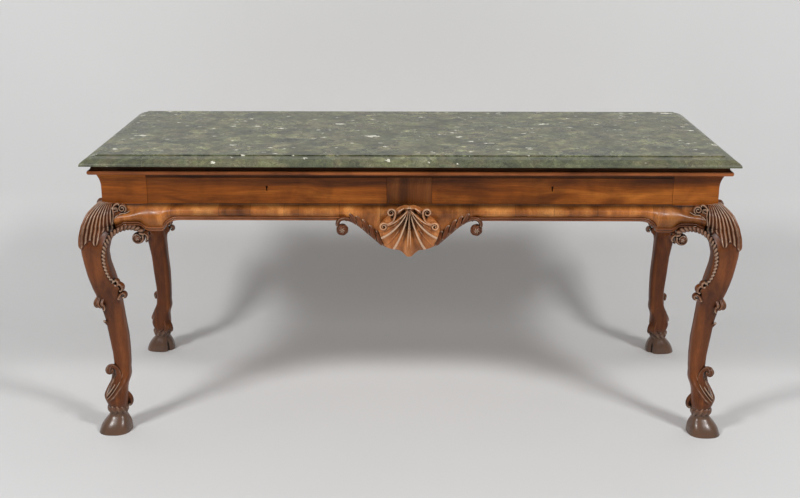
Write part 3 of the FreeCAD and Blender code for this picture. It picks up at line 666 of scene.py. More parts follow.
def node_group(name: str, values: dict[str, float], outputs: Sequence[str]) -> tuple[Sheet, Node, Node]:
    """Starts a shader node group that reads a vector and named values.

    Args:
        name: The group's name.
        values: Names and first values of its inputs.
        outputs: Names of the values that come out.

    Returns:
        The group's sheet, its input node and its output node.
    """
    tree = bpy.data.node_groups.new(name, "ShaderNodeTree")
    tree.interface.new_socket("Vector", in_out="INPUT", socket_type="NodeSocketVector")
    for label, first in values.items():
        tree.interface.new_socket(label, in_out="INPUT", socket_type="NodeSocketFloat").default_value = first
    for label in outputs:
        tree.interface.new_socket(label, in_out="OUTPUT", socket_type="NodeSocketFloat")
    sheet = Sheet(tree)
    return sheet, sheet.add("NodeGroupInput"), sheet.add("NodeGroupOutput")


@dataclass
class SharedEffects:
    """The node groups that several finishes use, each built once."""

    streaks_along: float = 1.6
    streaks_across: float = 30.0
    sway: float = 6.0
    fibres: Triple = (14.0, 480.0, 480.0)
    pores: Triple = (42.0, 1100.0, 1100.0)

    def __post_init__(self) -> None:
        """Builds the groups."""
        self.grain = self._grain()
        self.wear = self._wear()
        self.handling = self._handling()

    def _grain(self) -> Tree:
        """Wood grain along the first axis of its vector: streaks, fibres and pores.

        Returns:
            The node group.
        """
        sheet, given, result = node_group("wood_grain", {"Streak Width": 1.0, "Figure": 0.3},
                                          ("Streak", "Fibre", "Pores"))
        place = given.outputs["Vector"]
        across = sheet.math("DIVIDE", self.streaks_across, given.outputs["Streak Width"])
        wide = sheet.take("ShaderNodeCombineXYZ", {0: self.streaks_along, 1: across, 2: across})
        wavy = sheet.noise(place, 3.0, 2.0)
        wave = sheet.take("ShaderNodeCombineXYZ", {1: wavy, 2: wavy})
        swing = sheet.math("MULTIPLY", given.outputs["Figure"], self.sway)
        wave = sheet.take("ShaderNodeVectorMath", {0: wave, "Scale": swing}, operation="SCALE")
        shifted = sheet.vector("ADD", sheet.vector("MULTIPLY", place, wide), wave)
        pores = sheet.noise(sheet.vector("MULTIPLY", place, self.pores), 1.0, 1.0)
        sheet.set(result, {"Streak": sheet.noise(shifted, 1.0, 6.0, 0.5),
                           "Fibre": sheet.noise(sheet.vector("MULTIPLY", place, self.fibres), 1.0, 3.0),
                           "Pores": sheet.step(pores, 0.60, 0.72)})
        return sheet.tree

    @staticmethod
    def _wear() -> Tree:
        """Pale rubbed arrises, partly painted highlight, and dark grooves and sheltered hollows, partly
        soiling and partly painted shade, broken up by a noise.

        Returns:
            The node group.
        """
        sheet, given, result = node_group("wear_dirt_and_painted_light", {"Relief": 0.5, "Shelter": 0.0, "Reach": 0.16},
                                          ("Worn", "Dirt"))
        patch = sheet.math("SUBTRACT", sheet.noise(given.outputs["Vector"], 90.0, 5.0), 0.5)
        patch = sheet.math("MULTIPLY", patch, given.outputs["Reach"])
        relief = sheet.math("ADD", given.outputs["Relief"], patch)
        # Open raised arrises get painted highlight with some rubbing; grooves and sheltered hollows get
        # painted shade with some soiling.
        open_air = sheet.step(given.outputs["Shelter"], 0.75, 0.25)
        worn = sheet.math("MULTIPLY", sheet.step(relief, 0.56, 0.80), open_air)
        shelter = sheet.math("SUBTRACT", given.outputs["Shelter"], patch)
        dirt = sheet.math("MAXIMUM", sheet.step(relief, 0.45, 0.18), sheet.step(shelter, 0.22, 0.62))
        sheet.set(result, {"Worn": worn, "Dirt": dirt})
        return sheet.tree

    @staticmethod
    def _handling() -> Tree:
        """Uneven polish from handling: a roughness and a faint height.

        Returns:
            The node group.
        """
        sheet, given, result = node_group("uneven_polish", {"Polish": 0.35, "Unevenness": 0.12},
                                          ("Roughness", "Height"))
        place = given.outputs["Vector"]
        smear = sheet.math("SUBTRACT", sheet.noise(place, 9.0, 5.0, 0.4), 0.5)
        change = sheet.math("MULTIPLY", smear, given.outputs["Unevenness"])
        sheet.set(result, {"Roughness": sheet.math("ADD", given.outputs["Polish"], change),
                           "Height": sheet.noise(place, 55.0, 3.0)})
        return sheet.tree


def start_material(name: str) -> tuple[Sheet, Node, Socket, Material]:
    """Starts a material with one shader and the object's own coordinates.

    Args:
        name: The material's name.

    Returns:
        Its sheet, its shader node, the coordinate socket and the material.
    """
    material = bpy.data.materials.new(name)
    material.use_nodes = True
    sheet = Sheet(material.node_tree)
    shader = material.node_tree.nodes["Principled BSDF"]
    return sheet, shader, sheet.add("ShaderNodeTexCoord").outputs["Object"], material


@dataclass(frozen=True)
class WoodFinish:
    """A polished or raw wood, by its dark, middle and light tones, its grain and its polish."""

    name: str
    grain: Grain
    tones: tuple[Colour, Colour, Colour]
    streak_width: float = 1.0
    figure: float = 0.3
    polish: float = 0.34
    shine: float = 0.3
    coat: float = 0.15
    coat_roughness: float = 0.22
    pore_depth: float = 0.35
    fine_relief: float = 0.0006
    veneer_joints: tuple[float, ...] = ()
    joint_axis: int = 0
    half_joint: float = 0.0007
    # Pale arrises (rubbing, partly painted highlight) and dark grooves and hollows (soiling, partly painted
    # shade), with their colours and strengths; the dark colour also fills the pores and veneer joints.
    worn: Colour | None = None
    wear_depth: float = 0.66
    dulled: float = 0.22
    dirt: Colour = (22, 13, 9)
    dirt_depth: float = 0.92
    bleached: Colour = (106, 86, 73)
    bleached_below: float = 0.0
    # Painted shade, with some soiling: heights over which the wood darkens, a half-length that can limit it,
    # and its strength.
    grimy: Pair | None = None
    grimy_half: float = 0.0
    grime_depth: float = 0.78
    matched: bool = False

    def make(self, effects: SharedEffects) -> Material:
        """Builds the material.

        Args:
            effects: The shared node groups.

        Returns:
            The material.
        """
        sheet, shader, place, material = start_material(self.name)
        if self.matched:
            place = sheet.vector("MULTIPLY", sheet.vector("ABSOLUTE", place), (-1.0, -1.0, 1.0))
        axes = sheet.add("ShaderNodeSeparateXYZ", {0: place}).outputs
        order = {number: axes["XYZ".index(axis)] for number, axis in enumerate(self.grain.value)}
        along = sheet.take("ShaderNodeCombineXYZ", order)
        pattern = {"Vector": along, "Streak Width": self.streak_width, "Figure": self.figure}
        grain = sheet.add("ShaderNodeGroup", pattern, node_tree=effects.grain).outputs
        colour = sheet.ramp(grain["Streak"], list(zip((0.28, 0.50, 0.74), map(paint, self.tones))))
        colour = sheet.mix(1.0, colour, sheet.step(grain["Fibre"], 0.25, 0.75, 0.80, 1.12), "MULTIPLY")
        mottle_and_painted_shade = sheet.step(sheet.noise(place, 11.0, 5.0, 0.6), 0.30, 0.62, 0.74, 1.13)
        # Painted shade, with some soiling, darkens the wood above a band of heights where it sits in shade.
        if self.grimy is not None:
            painted_shade_and_grime = sheet.step(axes[2], *self.grimy, 0.0, self.grime_depth)
            if self.grimy_half:
                away = sheet.math("ABSOLUTE", axes[0])
                painted_shade_and_grime = sheet.math("MULTIPLY", painted_shade_and_grime, sheet.math("LESS_THAN", away, self.grimy_half))
            mottle_and_painted_shade = sheet.math("MULTIPLY", mottle_and_painted_shade, sheet.math("SUBTRACT", 1.0, painted_shade_and_grime))
        colour = sheet.mix(1.0, colour, mottle_and_painted_shade, "MULTIPLY")
        pores = sheet.math("MULTIPLY", grain["Pores"], self.pore_depth)
        colour = sheet.mix(pores, colour, paint(self.dirt))
        if self.veneer_joints:
            colour = self._join_leaves(sheet, axes[self.joint_axis], colour)
        polish = sheet.add("ShaderNodeGroup", {"Vector": place, "Polish": self.polish},
                           node_tree=effects.handling).outputs
        roughness = polish["Roughness"]
        if self.worn is not None:
            colour, rubbed = self._wear_down(sheet, effects, place, colour)
            dull = sheet.math("MULTIPLY_ADD", rubbed, -self.dulled, self.dulled)
            roughness = sheet.math("ADD", roughness, dull)
            sheet.set(shader, {"Coat Weight": sheet.math("MULTIPLY", rubbed, self.coat)})
        fine = sheet.math("MULTIPLY", grain["Fibre"], 0.5)
        height = sheet.math("SUBTRACT", sheet.math("ADD", polish["Height"], fine), pores)
        relief = {"Strength": 0.12, "Distance": self.fine_relief, "Height": height}
        bump = sheet.take("ShaderNodeBump", relief)
        sheet.set(shader, {"Base Color": colour, "Roughness": roughness, "Normal": bump,
                           "Coat Weight": self.coat, "Coat Roughness": self.coat_roughness,
                           "Specular IOR Level": self.shine})
        return material

    def _join_leaves(self, sheet: Sheet, length: Socket, colour: Socket) -> Socket:
        """Gives each veneer leaf its own tone, with a dark joint between leaves.

        Args:
            sheet: The material's sheet.
            length: The length along the face, in metres.
            colour: The colour of the plain veneer.

        Returns:
            The colour of the leaves and joints.
        """
        span = 2 * HALF_LENGTH * MILLIMETRE
        tones = [0.50 + 0.24 * math.sin(2.4 * number + 0.6) for number in range(len(self.veneer_joints) + 1)]
        starts = [0.0] + [0.5 + joint / (2 * HALF_LENGTH) for joint in self.veneer_joints]
        stops = [(start, grey(tone)) for start, tone in zip(starts, tones)]
        reads = []
        for shift in (-self.half_joint, self.half_joint):
            share = sheet.math("MULTIPLY_ADD", length, 1.0 / span, 0.5 + shift / span)
            reads.append(sheet.ramp(share, stops, steps=True))
        tone = sheet.math("MULTIPLY_ADD", reads[0], 0.55, 0.72)
        colour = sheet.mix(1.0, colour, tone, "MULTIPLY")
        change = sheet.math("ABSOLUTE", sheet.math("SUBTRACT", reads[1], reads[0]))
        joint = sheet.math("MULTIPLY", sheet.math("GREATER_THAN", change, 0.005), 0.6)
        return sheet.mix(joint, colour, paint(self.dirt))

    def _wear_down(self, sheet: Sheet, effects: SharedEffects, place: Socket,
                   colour: Socket) -> tuple[Socket, Socket]:
        """Lightens the arrises of a carving, partly as rubbing and partly as painted highlight, and darkens
        its hollows, partly as soiling and partly as painted shade.

        Args:
            sheet: The material's sheet.
            effects: The shared node groups.
            place: The object's coordinates.
            colour: The colour of the plain wood.

        Returns:
            The colour of the rubbed and soiled wood with painted highlight and shade, and how much of its
            polish is left: less on flats, all on arrises.
        """
        relief = sheet.add("ShaderNodeAttribute", attribute_name="relief").outputs["Fac"]
        shelter = sheet.add("ShaderNodeAttribute", attribute_name="shelter").outputs["Fac"]
        wear = sheet.add("ShaderNodeGroup", {"Vector": place, "Relief": relief, "Shelter": shelter},
                         node_tree=effects.wear).outputs
        rubbed = sheet.math("MULTIPLY_ADD", wear["Worn"], 0.65, 0.35)
        if self.bleached_below:
            low, high = 0.75 * self.bleached_below, 1.25 * self.bleached_below
            hoof = sheet.step(sheet.height(place), high, low, 0.0, 0.7)
            colour = sheet.mix(hoof, colour, paint(self.bleached))
            rubbed = sheet.math("ADD", rubbed, hoof)
        # Painted shade with some soiling in hollows, then painted highlight with some rubbing on arrises.
        dirty_and_shaded = sheet.mix(sheet.math("MULTIPLY", wear["Dirt"], self.dirt_depth), colour, paint(self.dirt))
        worn = sheet.mix(sheet.math("MULTIPLY", wear["Worn"], self.wear_depth), dirty_and_shaded, paint(self.worn))
        return worn, rubbed


@dataclass(frozen=True)
class MarbleFinish:
    """Grey-green breccia marble with pale chips, satin polished."""

    name: str = "breccia_marble"
    deep: Colour = (52, 57, 42)
    grey_green: Colour = (81, 86, 62)
    brown_grey: Colour = (100, 94, 70)
    olive: Colour = (99, 101, 66)
    pale: Colour = (140, 139, 110)
    chip: Colour = (226, 224, 206)
    rubbed: Colour = (160, 160, 148)
    polish: float = 0.28
    shine: float = 0.22
    fine_relief: float = 0.0005
    drift: float = 0.035
    edge_band: Pair = (0.8340, 0.8392)
    edge_rubbed: float = 0.14
    lumps: Line = ((21.0, 0.75), (52.0, 0.75), (140.0, 0.7))
    chips: Line = ((20.0, 0.93, 0.32), (31.0, 0.92, 0.34), (60.0, 0.92, 0.40))

    def make(self, effects: SharedEffects) -> Material:
        """Builds the material.

        Args:
            effects: The shared node groups.

        Returns:
            The material.
        """
        sheet, shader, place, material = start_material(self.name)
        bends = {"Vector": place, "Scale": 22.0, "Detail": 5.0}
        bent = sheet.add("ShaderNodeTexNoise", bends).outputs["Color"]
        drift = sheet.vector("ADD", place, sheet.vector("MULTIPLY", bent, (self.drift,) * 3))
        clouds = sheet.noise(sheet.vector("MULTIPLY", drift, (0.6, 1.0, 1.0)), 13.0, 10.0, 0.8)
        tones = (self.deep, self.grey_green, self.brown_grey, self.olive, self.pale)
        colour = sheet.ramp(clouds, list(zip((0.30, 0.43, 0.52, 0.61, 0.76), map(paint, tones))))
        height = sheet.height(place)
        low, high = self.edge_band
        flat = sheet.step(height, low, high, 0.68, 1.25)
        for scale, amount in self.lumps:
            cell = sheet.add("ShaderNodeTexVoronoi", {"Vector": drift, "Scale": scale}).outputs["Color"]
            draws = sheet.add("ShaderNodeSeparateColor", {0: cell}).outputs
            shade = sheet.ramp(draws[0], [(0.0, grey(0.54)), (0.5, grey(0.97)), (1.0, grey(1.62))])
            colour = sheet.mix(sheet.math("MULTIPLY", flat, amount), colour, shade, "MULTIPLY")
            colour = sheet.mix(sheet.step(draws[1], 0.72, 0.80, 0.0, 0.35), colour, paint(self.olive))
        seam = sheet.take("ShaderNodeTexVoronoi", {"Vector": drift, "Scale": self.lumps[0][0]},
                          feature="DISTANCE_TO_EDGE")
        colour = sheet.mix(sheet.step(seam, 0.05, 0.0, 0.0, 0.4), colour, paint(self.deep))
        vein = sheet.math("ABSOLUTE", sheet.math("SUBTRACT", sheet.noise(drift, 9.0, 6.0, 1.0), 0.5))
        colour = sheet.mix(sheet.step(vein, 0.008, 0.0, 0.0, 0.4), colour, paint(self.pale))
        for scale, share, spread in self.chips:
            colour = self._chips(sheet, place, colour, scale, share, spread)
        rubbed = sheet.step(height, high, low, 0.0, self.edge_rubbed)
        colour = sheet.mix(rubbed, colour, paint(self.rubbed))
        speck = sheet.step(sheet.noise(place, 420.0, 3.0), 0.38, 0.64, 0.78, 1.22)
        colour = sheet.mix(1.0, colour, speck, "MULTIPLY")
        polish = sheet.add("ShaderNodeGroup", {"Vector": place, "Polish": self.polish},
                           node_tree=effects.handling).outputs
        bump = sheet.take("ShaderNodeBump", {
            "Strength": 0.06, "Distance": self.fine_relief, "Height": polish["Height"]})
        sheet.set(shader, {"Base Color": colour, "Roughness": polish["Roughness"], "Normal": bump,
                           "Specular IOR Level": self.shine})
        return material

    def _chips(self, sheet: Sheet, place: Socket, colour: Socket, scale: float, share: float,
               spread: float) -> Socket:
        """Strews angular pale chips.

        Args:
            sheet: The material's sheet.
            place: The object's coordinates.
            colour: The colour under the chips.
            scale: Cells to the metre.
            share: The share of cells with no chip.
            spread: How far a chip reaches in its cell.

        Returns:
            The colour with the chips.
        """
        jag = sheet.add("ShaderNodeTexNoise", {"Vector": place, "Scale": scale * 3.0}).outputs["Color"]
        bent = sheet.vector("ADD", sheet.vector("MULTIPLY", place, (0.62, 1.0, 1.0)),
                            sheet.vector("MULTIPLY", jag, (0.6 / scale,) * 3))
        cells = sheet.add("ShaderNodeTexVoronoi", {"Vector": bent, "Scale": scale}, distance="MANHATTAN")
        tone = sheet.add("ShaderNodeSeparateColor", {0: cells.outputs["Color"]}).outputs[1]
        chosen = sheet.math("GREATER_THAN", tone, share)
        inside = sheet.step(cells.outputs["Distance"], spread, spread * 0.85)
        return sheet.mix(sheet.math("MULTIPLY", chosen, inside), colour, paint(self.chip))


@dataclass(frozen=True)
class MetalFinish:
    """A tarnished metal."""

    name: str
    bright: Colour
    tarnish: Colour
    polish: float

    def make(self, effects: SharedEffects) -> Material:
        """Builds the material.

        Args:
            effects: The shared node groups.

        Returns:
            The material.
        """
        sheet, shader, place, material = start_material(self.name)
        patch = sheet.step(sheet.noise(place, 120.0, 5.0), 0.38, 0.66)
        colour = sheet.mix(patch, paint(self.bright), paint(self.tarnish))
        polish = sheet.add("ShaderNodeGroup", {"Vector": place, "Polish": self.polish},
                           node_tree=effects.handling).outputs
        sheet.set(shader, {"Base Color": colour, "Roughness": polish["Roughness"], "Metallic": 1.0})
        return material


class Finishes:
    """Every finish of the table, made once."""

    def __init__(self) -> None:
        """Makes the shared groups and then each material."""
        effects = SharedEffects()
        self.marble = MarbleFinish().make(effects)
        frieze = partial(WoodFinish, tones=((78, 38, 10), (128, 67, 17), (178, 105, 38)), streak_width=1.3,
                         polish=0.42, coat=0.05, shine=0.18)
        self.frieze = frieze("frieze_lengthways", Grain.LENGTHWAYS).make(effects)
        self.frieze_ends = frieze("frieze_front_to_back", Grain.FRONT_TO_BACK).make(effects)
        front = partial(frieze, tones=((97, 48, 14), (148, 79, 22), (184, 108, 40)))
        self.end_stile = front("end_stile", Grain.LENGTHWAYS).make(effects)
        # The top rail gets painted shade where it shows between the drawers and the cornice lip.
        self.rail = front("rail_grimy", Grain.LENGTHWAYS, grimy=(0.76, 0.77), grimy_half=0.743).make(effects)
        self.stile = frieze("stile_upright", Grain.UPRIGHT, streak_width=1.0,
                            tones=((60, 31, 11), (100, 54, 20), (124, 72, 31))).make(effects)
        # The moulding's tones are lighter than the frieze's, as painted light on the lip that the slab
        # shades; the lip's upper part gets the slab's painted shadow, with some soiling.
        moulding = partial(WoodFinish, tones=((104, 54, 25), (156, 88, 44), (190, 116, 64)), polish=0.36,
                           coat=0.05, shine=0.25, grimy=(0.7955, 0.799))
        self.moulding = moulding("moulding_lengthways", Grain.LENGTHWAYS).make(effects)
        self.moulding_ends = moulding("moulding_front_to_back", Grain.FRONT_TO_BACK).make(effects)
        self.bead = WoodFinish("edge_bead", Grain.LENGTHWAYS, ((84, 44, 22), (130, 75, 40), (164, 102, 60)),
                               polish=0.26, coat=0.3).make(effects)
        # The apron veneer gets painted shade, with some soiling, along its top under the drawers.
        torus = partial(WoodFinish, tones=((100, 52, 18), (168, 100, 44), (212, 143, 76)),
                        grain=Grain.UPRIGHT, streak_width=1.6, polish=0.36, coat=0.14, grimy=(0.684, 0.695))
        front_joints = (-677, -540, -453, -361, -314, -201, -88, 164, 295, 405, 526, 686)
        self.torus = torus("torus_front", veneer_joints=front_joints).make(effects)
        self.torus_ends = torus("torus_ends", veneer_joints=(-205, -72, 58, 190), joint_axis=1).make(effects)
        # The carvings' pale arrises are partly painted highlight and their dark hollows partly painted shade.
        carved = partial(WoodFinish, grain=Grain.UPRIGHT, polish=0.30, coat=0.28)
        self.carving = carved("carved_legs", tones=((64, 31, 12), (99, 50, 18), (136, 75, 30)),
                              worn=(196, 170, 146), bleached_below=0.074, matched=True).make(effects)
        self.shell = carved("carved_shell", tones=((122, 68, 32), (182, 112, 58), (216, 148, 90)),
                            worn=(232, 202, 172), dirt_depth=0.84).make(effects)
        pine = partial(WoodFinish, tones=((120, 86, 52), (160, 122, 78), (182, 146, 98)), streak_width=1.8,
                       figure=0.5, polish=0.62, coat=0.0, pore_depth=0.1)
        self.pine = pine("carcass_lengthways", Grain.LENGTHWAYS).make(effects)
        self.pine_ends = pine("carcass_front_to_back", Grain.FRONT_TO_BACK).make(effects)
        oak = partial(WoodFinish, tones=((112, 82, 50), (148, 114, 74), (170, 136, 94)), streak_width=0.9,
                      polish=0.55, coat=0.0)
        self.oak = oak("lining_lengthways", Grain.LENGTHWAYS).make(effects)
        self.oak_sides = oak("lining_front_to_back", Grain.FRONT_TO_BACK).make(effects)
        self.brass = MetalFinish("aged_brass", (188, 150, 82), (104, 78, 40), 0.38).make(effects)
        self.iron = MetalFinish("aged_iron", (110, 106, 102), (52, 44, 40), 0.52).make(effects)


class PathTrees:
    """Geometry Nodes trees for what follows a path: leaning strands and round beads, and plain bars."""

    def __init__(self) -> None:
        """Builds both trees once."""
        self.strands = self._strands()
        self.bar = self._bar()

    @staticmethod
    def _start(name: str, sizes: Sequence[str]) -> tuple[Sheet, Node, Node, Socket]:
        """Starts a tree with a path, named sizes and a finish, and divides the path.

        Args:
            name: The tree's name.
            sizes: The names of its sizes, the step along the path first.

        Returns:
            The tree's sheet, its input node, its output node and the divided path.
        """
        tree = bpy.data.node_groups.new(name, "GeometryNodeTree")
        tree.interface.new_socket("Path", in_out="INPUT", socket_type="NodeSocketGeometry")
        for size in sizes:
            tree.interface.new_socket(size, in_out="INPUT", socket_type="NodeSocketFloat")
        tree.interface.new_socket("Finish", in_out="INPUT", socket_type="NodeSocketMaterial")
        tree.interface.new_socket("Mesh", in_out="OUTPUT", socket_type="NodeSocketGeometry")
        sheet = Sheet(tree)
        given, result = sheet.add("NodeGroupInput"), sheet.add("NodeGroupOutput")
        line = sheet.take("GeometryNodeMeshToCurve", {0: given.outputs["Path"]})
        division = {0: line, "Length": given.outputs[sizes[0]]}
        even = sheet.take("GeometryNodeResampleCurve", division, mode="LENGTH")
        return sheet, given, result, even

    @staticmethod
    def _end(sheet: Sheet, given: Node, result: Node, shape: Socket) -> Tree:
        """Realizes the shape, smooths it, gives it the finish and hands it out.

        Args:
            sheet: The tree's sheet.
            given: Its input node.
            result: Its output node.
            shape: The shape.

        Returns:
            The finished tree.
        """
        real = sheet.take("GeometryNodeRealizeInstances", {0: shape})
        smooth = sheet.take("GeometryNodeSetShadeSmooth", {0: real})
        done = sheet.take("GeometryNodeSetMaterial", {0: smooth, "Material": given.outputs["Finish"]})
        sheet.set(result, {"Mesh": done})
        return sheet.tree

    def _strands(self) -> Tree:
        """Oval beads that lean across a path, thinner where the point attribute girth is less.

        Returns:
            The tree.
        """
        names = ("Pitch", "Length", "Width", "Height", "Lean")
        sheet, given, result, even = self._start("leaning_strands", names)
        bead = sheet.take("GeometryNodeMeshUVSphere", {"Segments": 10, "Rings": 7, "Radius": 1.0})
        facing = sheet.take("GeometryNodeInputNamedAttribute", {"Name": "facing"}, data_type="FLOAT_VECTOR")
        girth = sheet.take("GeometryNodeInputNamedAttribute", {"Name": "girth"}, data_type="FLOAT")
        align = "FunctionNodeAlignRotationToVector"
        turn = sheet.take(align, {"Vector": sheet.take("GeometryNodeInputTangent")}, axis="X")
        turn = sheet.take(align, {"Rotation": turn, "Vector": facing}, axis="Z", pivot_axis="X")
        lean = sheet.take("ShaderNodeCombineXYZ", {2: given.outputs["Lean"]})
        lean = sheet.take("FunctionNodeEulerToRotation", {0: lean})
        turns = {"Rotation": turn, "Rotate By": lean}
        turn = sheet.take("FunctionNodeRotateRotation", turns, rotation_space="LOCAL")
        sizes = {number: given.outputs[name] for number, name in enumerate(names[1:4])}
        scaled = {0: sheet.take("ShaderNodeCombineXYZ", sizes), "Scale": girth}
        scale = sheet.take("ShaderNodeVectorMath", scaled, operation="SCALE")
        beads = sheet.take("GeometryNodeInstanceOnPoints", {
            "Points": even, "Instance": bead, "Rotation": turn, "Scale": scale})
        return self._end(sheet, given, result, beads)

    def _bar(self) -> Tree:
        """A round bar along a path.

        Returns:
            The tree.
        """
        sheet, given, result, even = self._start("round_bar", ("Step", "Radius"))
        size = {"Resolution": 12, "Radius": given.outputs["Radius"]}
        ring = sheet.take("GeometryNodeCurvePrimitiveCircle", size)
        bar = sheet.take("GeometryNodeCurveToMesh", {"Curve": even, "Profile Curve": ring, "Fill Caps": True})
        return self._end(sheet, given, result, bar)

    def run(self, tree: Tree, path: Array, material: Material, facing: Sequence[float] = (0.0, -1.0, 0.0),
            girth: Array | float = 1.0, **sizes: float) -> Carving:
        """Runs a tree along a path.

        Args:
            tree: The tree.
            path: The path, in millimetres.
            material: The finish.
            facing: The direction that beads face.
            girth: How thick the run is at each point of the path.
            sizes: The tree's sizes, in millimetres, and the lean in radians.

        Returns:
            The mesh, in millimetres.
        """
        mesh = bpy.data.meshes.new("path")
        edges = [(number, number + 1) for number in range(len(path) - 1)]
        mesh.from_pydata((path * MILLIMETRE).tolist(), edges, [])
        thick = np.broadcast_to(np.asarray(girth, np.float32), len(path))
        mesh.attributes.new("girth", "FLOAT", "POINT").data.foreach_set("value", np.ascontiguousarray(thick))
        ways = np.ascontiguousarray(np.broadcast_to(np.asarray(facing, np.float32), (len(path), 3)))
        mesh.attributes.new("facing", "FLOAT_VECTOR", "POINT").data.foreach_set("vector", ways.ravel())
        line = place_object("path", mesh)
        modifier = line.modifiers.new("run", "NODES")
        modifier.node_group = tree
        for socket in tree.interface.items_tree:
            if socket.in_out == "INPUT" and socket.name == "Finish":
                modifier[socket.identifier] = material
            elif socket.in_out == "INPUT" and socket.name in sizes:
                scale = 1.0 if socket.name == "Lean" else MILLIMETRE
                modifier[socket.identifier] = float(sizes[socket.name] * scale)
        done = bpy.data.meshes.new_from_object(line.evaluated_get(bpy.context.evaluated_depsgraph_get()))
        line.modifiers.remove(modifier)
        bpy.data.objects.remove(line)
        points = read_vectors(done.vertices, "co") / MILLIMETRE
        sides = [tuple(face.vertices) for face in done.polygons]
        quads = np.array([face for face in sides if len(face) == 4], int).reshape(-1, 4)
        triangles = [face for face in sides if len(face) == 3]
        for face in sides:
            if len(face) > 4:
                triangles += [(face[0], second, third) for second, third in zip(face[1:], face[2:])]
        bpy.data.meshes.remove(done)
        return Carving(points, quads, np.array(triangles, int).reshape(-1, 3))


@dataclass
class Assembly:
    """A part of the table, with the finishes and the path trees that it is made with."""

    finishes: Finishes
    trees: PathTrees


